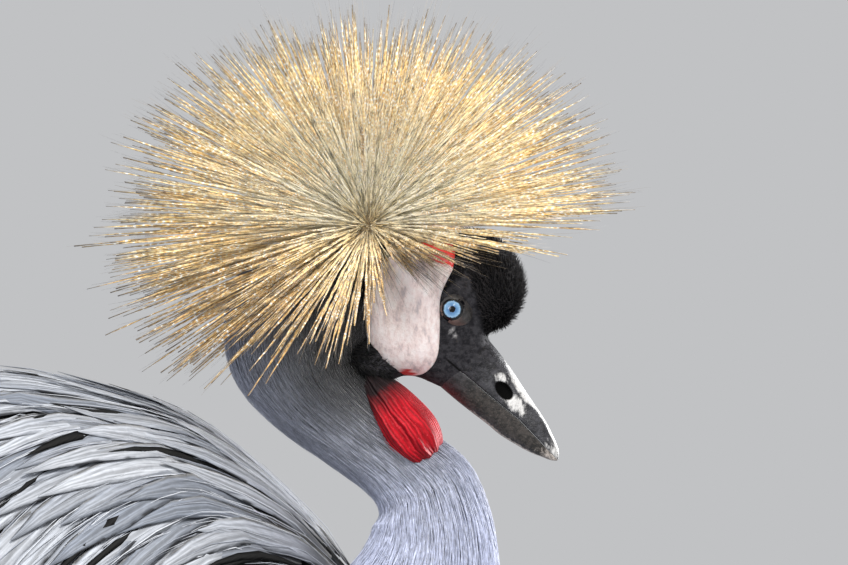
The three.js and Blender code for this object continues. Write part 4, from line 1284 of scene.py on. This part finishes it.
TERTIALS = ([[-148, 19, 516], [-178, 58, 440]], [[-246, 18, 478], [-250, 49, 408]],
            [[-384, 17, 334], [-322, 38, 340]])
PRIMARIES = ([[-150, 51, 404], [-140, 62, 384]], [[-236, 37, 376], [-214, 49, 360]],
             [[-362, 18, 300], [-300, 30, 318]])
TAIL = ([[-236, 12, 410]] * 2, [[-290, 22, 372]] * 2, [[-352, 34, 318]] * 2)
chestnut = barbed("chestnut quill", 70, 0.5, 0.35, 0.8, 0.1, across=16, fleck=0.5)
black = barbed("black quill", 70, 0.42, 0.35, 0.8, 0.1, across=14, fleck=0.5)


def chestnut_tint(share, s):
    tone = blend((0.13, 0.030, 0.015), (0.055, 0.016, 0.012), fade(s, 0.5, 1.0))
    return np.broadcast_to(tone, (len(share),) + tone.shape[-2:]).copy()


def black_tint(share, s):
    return np.broadcast_to([0.012, 0.013, 0.017], (len(share), s.shape[1], 3)).copy()


for word, side in SIDES:
    quills(f"tertial_quills_{word}", chestnut, TERTIALS, side, 9, 30, 1.4, chestnut_tint,
           (f"tertials_{word}",), "tertial", face=(22, 80))
    quills(f"primary_quills_{word}", black, PRIMARIES, side, 7, 23, 1.2, black_tint,
           (f"primaries_{word}",), "flight")
quills("tail_quills", black, TAIL, 1, 12, 20, 1.1, black_tint, ("tail",), "flight", face=(0, 0),
       flat=True)


def straw_tint(centres, spots, s):
    tone = blend((0.72, 0.52, 0.22), (0.84, 0.70, 0.42), rng.random(len(spots)))
    return np.repeat(tone[:, None], s.shape[1], 1)


straw = hairy("straw plume", 0.55, 0.3, 0.2)
for word, side in SIDES:
    turns = sorted((side * 30, side * 88))
    body_vanes(f"straw_plumes_{word}", straw,
               scatter(TORSO, x_share(-50, -178), turns, (6, 4.0)), (70, 125), (1.6, 2.6), 0.0042,
               straw_tint, slot="wing", ring="blade", lift=0.075, stations=8, camber=0)


def thigh_coat(word, leg):
    spots = scatter(leg, (0.05, 0.93), ALL_ROUND, (7, 5))
    n = len(spots)
    lengths = spread(20, 34, n)
    high = spread(0.3, 2.2, n)[:, None]
    centres, normals = run(leg, spots, lengths, spread(-0.002, 0.002, n), 5,
                           lambda t, turn, s: -4 + (3 + high) * np.minimum(1, s * 3) + s)
    s = np.linspace(0, 1, 5)[None]
    widths = spread(5, 8, (n, 1)) * leaf(s)
    tone = blend((0.30, 0.31, 0.34), (0.44, 0.45, 0.49), rng.random(n))[:, None]
    stamp(f"thigh_plumes_{word}", centres, normals, widths, 0.5 + 0 * widths,
          tone * (0.7 + 0.3 * s)[..., None], pale, ring="blade", camber=0.1,
          bake=bake_of(spots), slot="body")


for (word, _), leg in zip(SIDES, THIGHS):
    thigh_coat(word, leg)


def breast_coat():
    spots = scatter(NECK, (0.70, 0.985), (62, 298), (6.5, 6))
    n = len(spots)
    lengths = spread(60, 105, n)
    high = spread(0.2, 1, (n, 1)) * (1 + 2.5 * fade(spots[:, :1], 0.74, 0.86))
    centres, normals = run(NECK, spots, lengths, spread(-0.0012, 0.0012, n), 7,
                           lambda t, turn, s: -3 + (1.2 + high) * np.minimum(1, s * 2) + 5 * s)
    centres[..., 2] -= 3 * np.linspace(0, 1, 7)[None, :] ** 2
    s = np.linspace(0, 1, 7)[None]
    widths = spread(3.6, 6, (n, 1)) * leaf(s, tip=0.08)
    tone = neck_tint(centres) * spread(0.8, 1.12, (n, 1, 1))
    stamp("breast_plumes", centres, normals, widths, 0.5 + 0 * widths, tone, pale, ring="blade",
          camber=0.15, bake=bake_of(spots), slot="neck")


breast_coat()


# Legs and feet
leg_look, w = shader("leg scales", 0.5)
cells = w.node("ShaderNodeTexVoronoi", feature="DISTANCE_TO_EDGE")
cells.inputs["Scale"].default_value = 330
turned = w.node("ShaderNodeMapping")
turned.inputs["Scale"].default_value = (1, 1, 0.62)
w.put(turned.inputs["Vector"], w.spot())
w.put(cells.inputs["Vector"], turned.outputs[0])
edge = w.range(cells.outputs["Distance"], 0.0, 0.08)
w.colour(w.mix(edge, (0.012, 0.011, 0.011), w.mix(w.noise(200, 3), (0.030, 0.029, 0.030),
                                                (0.016, 0.015, 0.017))))
w.bump(edge, 0.6, 0.0008)


def plates(step, power=6):
    """The rounded top of a row of plates: 0 at each seam, 1 between them."""
    return 1 - (2 * (step % 1) - 1) ** power


def leg_piece(name, leg, share, node, plate):
    """A length of the leg with plates of one height down its front."""
    bm = tube(leg, 32, 150, share=share)
    centre_line = leg.middle(np.linspace(0, 1, 300))
    for v in bm.verts:
        spot = np.array(v.co)
        out = spot - centre_line[np.argmin(np.abs(centre_line[:, 2] - spot[2]))]
        ahead = max(0.0, out[0] / max(np.linalg.norm(out), 0.1))
        v.co = spot + unit(out) * (0.5 * ahead**0.5 * plates(spot[2] / plate) - 0.25)
    piece(name, bm, leg_look, (node,), "leg")


claw_look, w = shader("claw horn", 0.35)
w.colour(w.mix(w.noise(500, 4, (1, 1, 3)), (0.02, 0.018, 0.017), (0.07, 0.06, 0.05)))
w.bump(w.noise(900, 2), 0.3, 0.0005)

# each toe's length, its heading off straight ahead, its half thickness and its claw's length
TOES = [("middle", 82, -3, 4.8, 13), ("inner", 66, 29, 4.4, 12), ("outer", 69, -37, 4.4, 12),
        ("hind", 36, 172, 4, 17)]
TOE_PLATE, TOE_PAD = 5.2, 9


def toe_tube(stations, root, way, around, rings, length=None):
    """A tube from stations of reach, height, half height and half width, flat where it meets
    the floor. With a length it has plates above and pads under it."""
    line = Skin([[*(root + way * reach + [0, 0, height]), high, wide]
                 for reach, height, high, wide in stations])
    bm, row, turn, t = grid_of(around, rings)
    size = catmull(line.stations[:, 3:], t)
    if length:
        plate = 0.42 * np.maximum(np.cos(turn), 0) ** 0.5 * plates(t * length / TOE_PLATE)
        pad = 0.25 * np.maximum(-np.cos(turn), 0) * np.cos(t * length / TOE_PAD * 6.28)
        size = size + (plate + pad)[:, None]
    up = np.array([0, 0, 1.0])
    mid = line.middle(t)
    point = mid + up * (size[:, 0] * np.cos(turn))[:, None] \
        + np.cross(up, way) * (size[:, 1] * np.sin(turn))[:, None]
    point[:, 2] = np.maximum(point[:, 2], 0.05)
    return bent(bm, row, point, mid)


def toe(word, side, name, length, heading, thick, claw):
    angle = -side * math.radians(heading)
    way = np.array([math.cos(angle), math.sin(angle), 0])
    root = np.array([FEET_X, side * FEET_Y, 0])
    scales = toe_tube([(0, 7, thick * 1.15, thick * 1.1),
                       (0.25 * length, thick * 0.92, thick, thick),
                       (0.6 * length, thick * 0.78, thick * 0.9, thick * 0.9),
                       (length + 1, thick * 0.62, thick * 0.74, thick * 0.74)],
                      root, way, 28, 90, length)
    horn = toe_tube([(length - 3, thick * 0.66, thick * 0.62, thick * 0.5),
                     (length + claw * 0.5, thick * 0.72, thick * 0.45, thick * 0.36),
                     (length + claw * 0.85, thick * 0.4, thick * 0.2, thick * 0.16),
                     (length + claw, 0.9, 0.4, 0.32)], root, way, 20, 24)
    piece(f"toe_{name}_scales_{word}", scales, leg_look, (f"toe_{name}_{word}",), "leg")
    piece(f"claw_{name}_horn_{word}", horn, claw_look, (f"claw_{name}_{word}",), "claw")


for (word, side), leg in zip(SIDES, LEGS):
    leg_piece(f"shank_scales_{word}", leg, (0.09, 0.455), f"shank_{word}", 7.5)
    leg_piece(f"tarsus_scales_{word}", leg, (0.43, 0.985), f"tarsus_{word}", 8.5)
    for sizes in TOES:
        toe(word, side, *sizes)

# Floor
bm = bmesh.new()
bmesh.ops.create_circle(bm, cap_ends=True, segments=96, radius=6)
floor_look, w = shader("floor", 0.75)
w.colour(w.mix(w.noise(3, 3), (0.235, 0.24, 0.245), (0.255, 0.26, 0.265)))
w.bump(w.noise(400, 2), 0.05, 0.001)
mesh = mesh_of(bm, "floor")
mesh.materials.append(floor_look)
floor = bpy.data.objects.new("floor", mesh)
bpy.context.scene.collection.objects.link(floor)
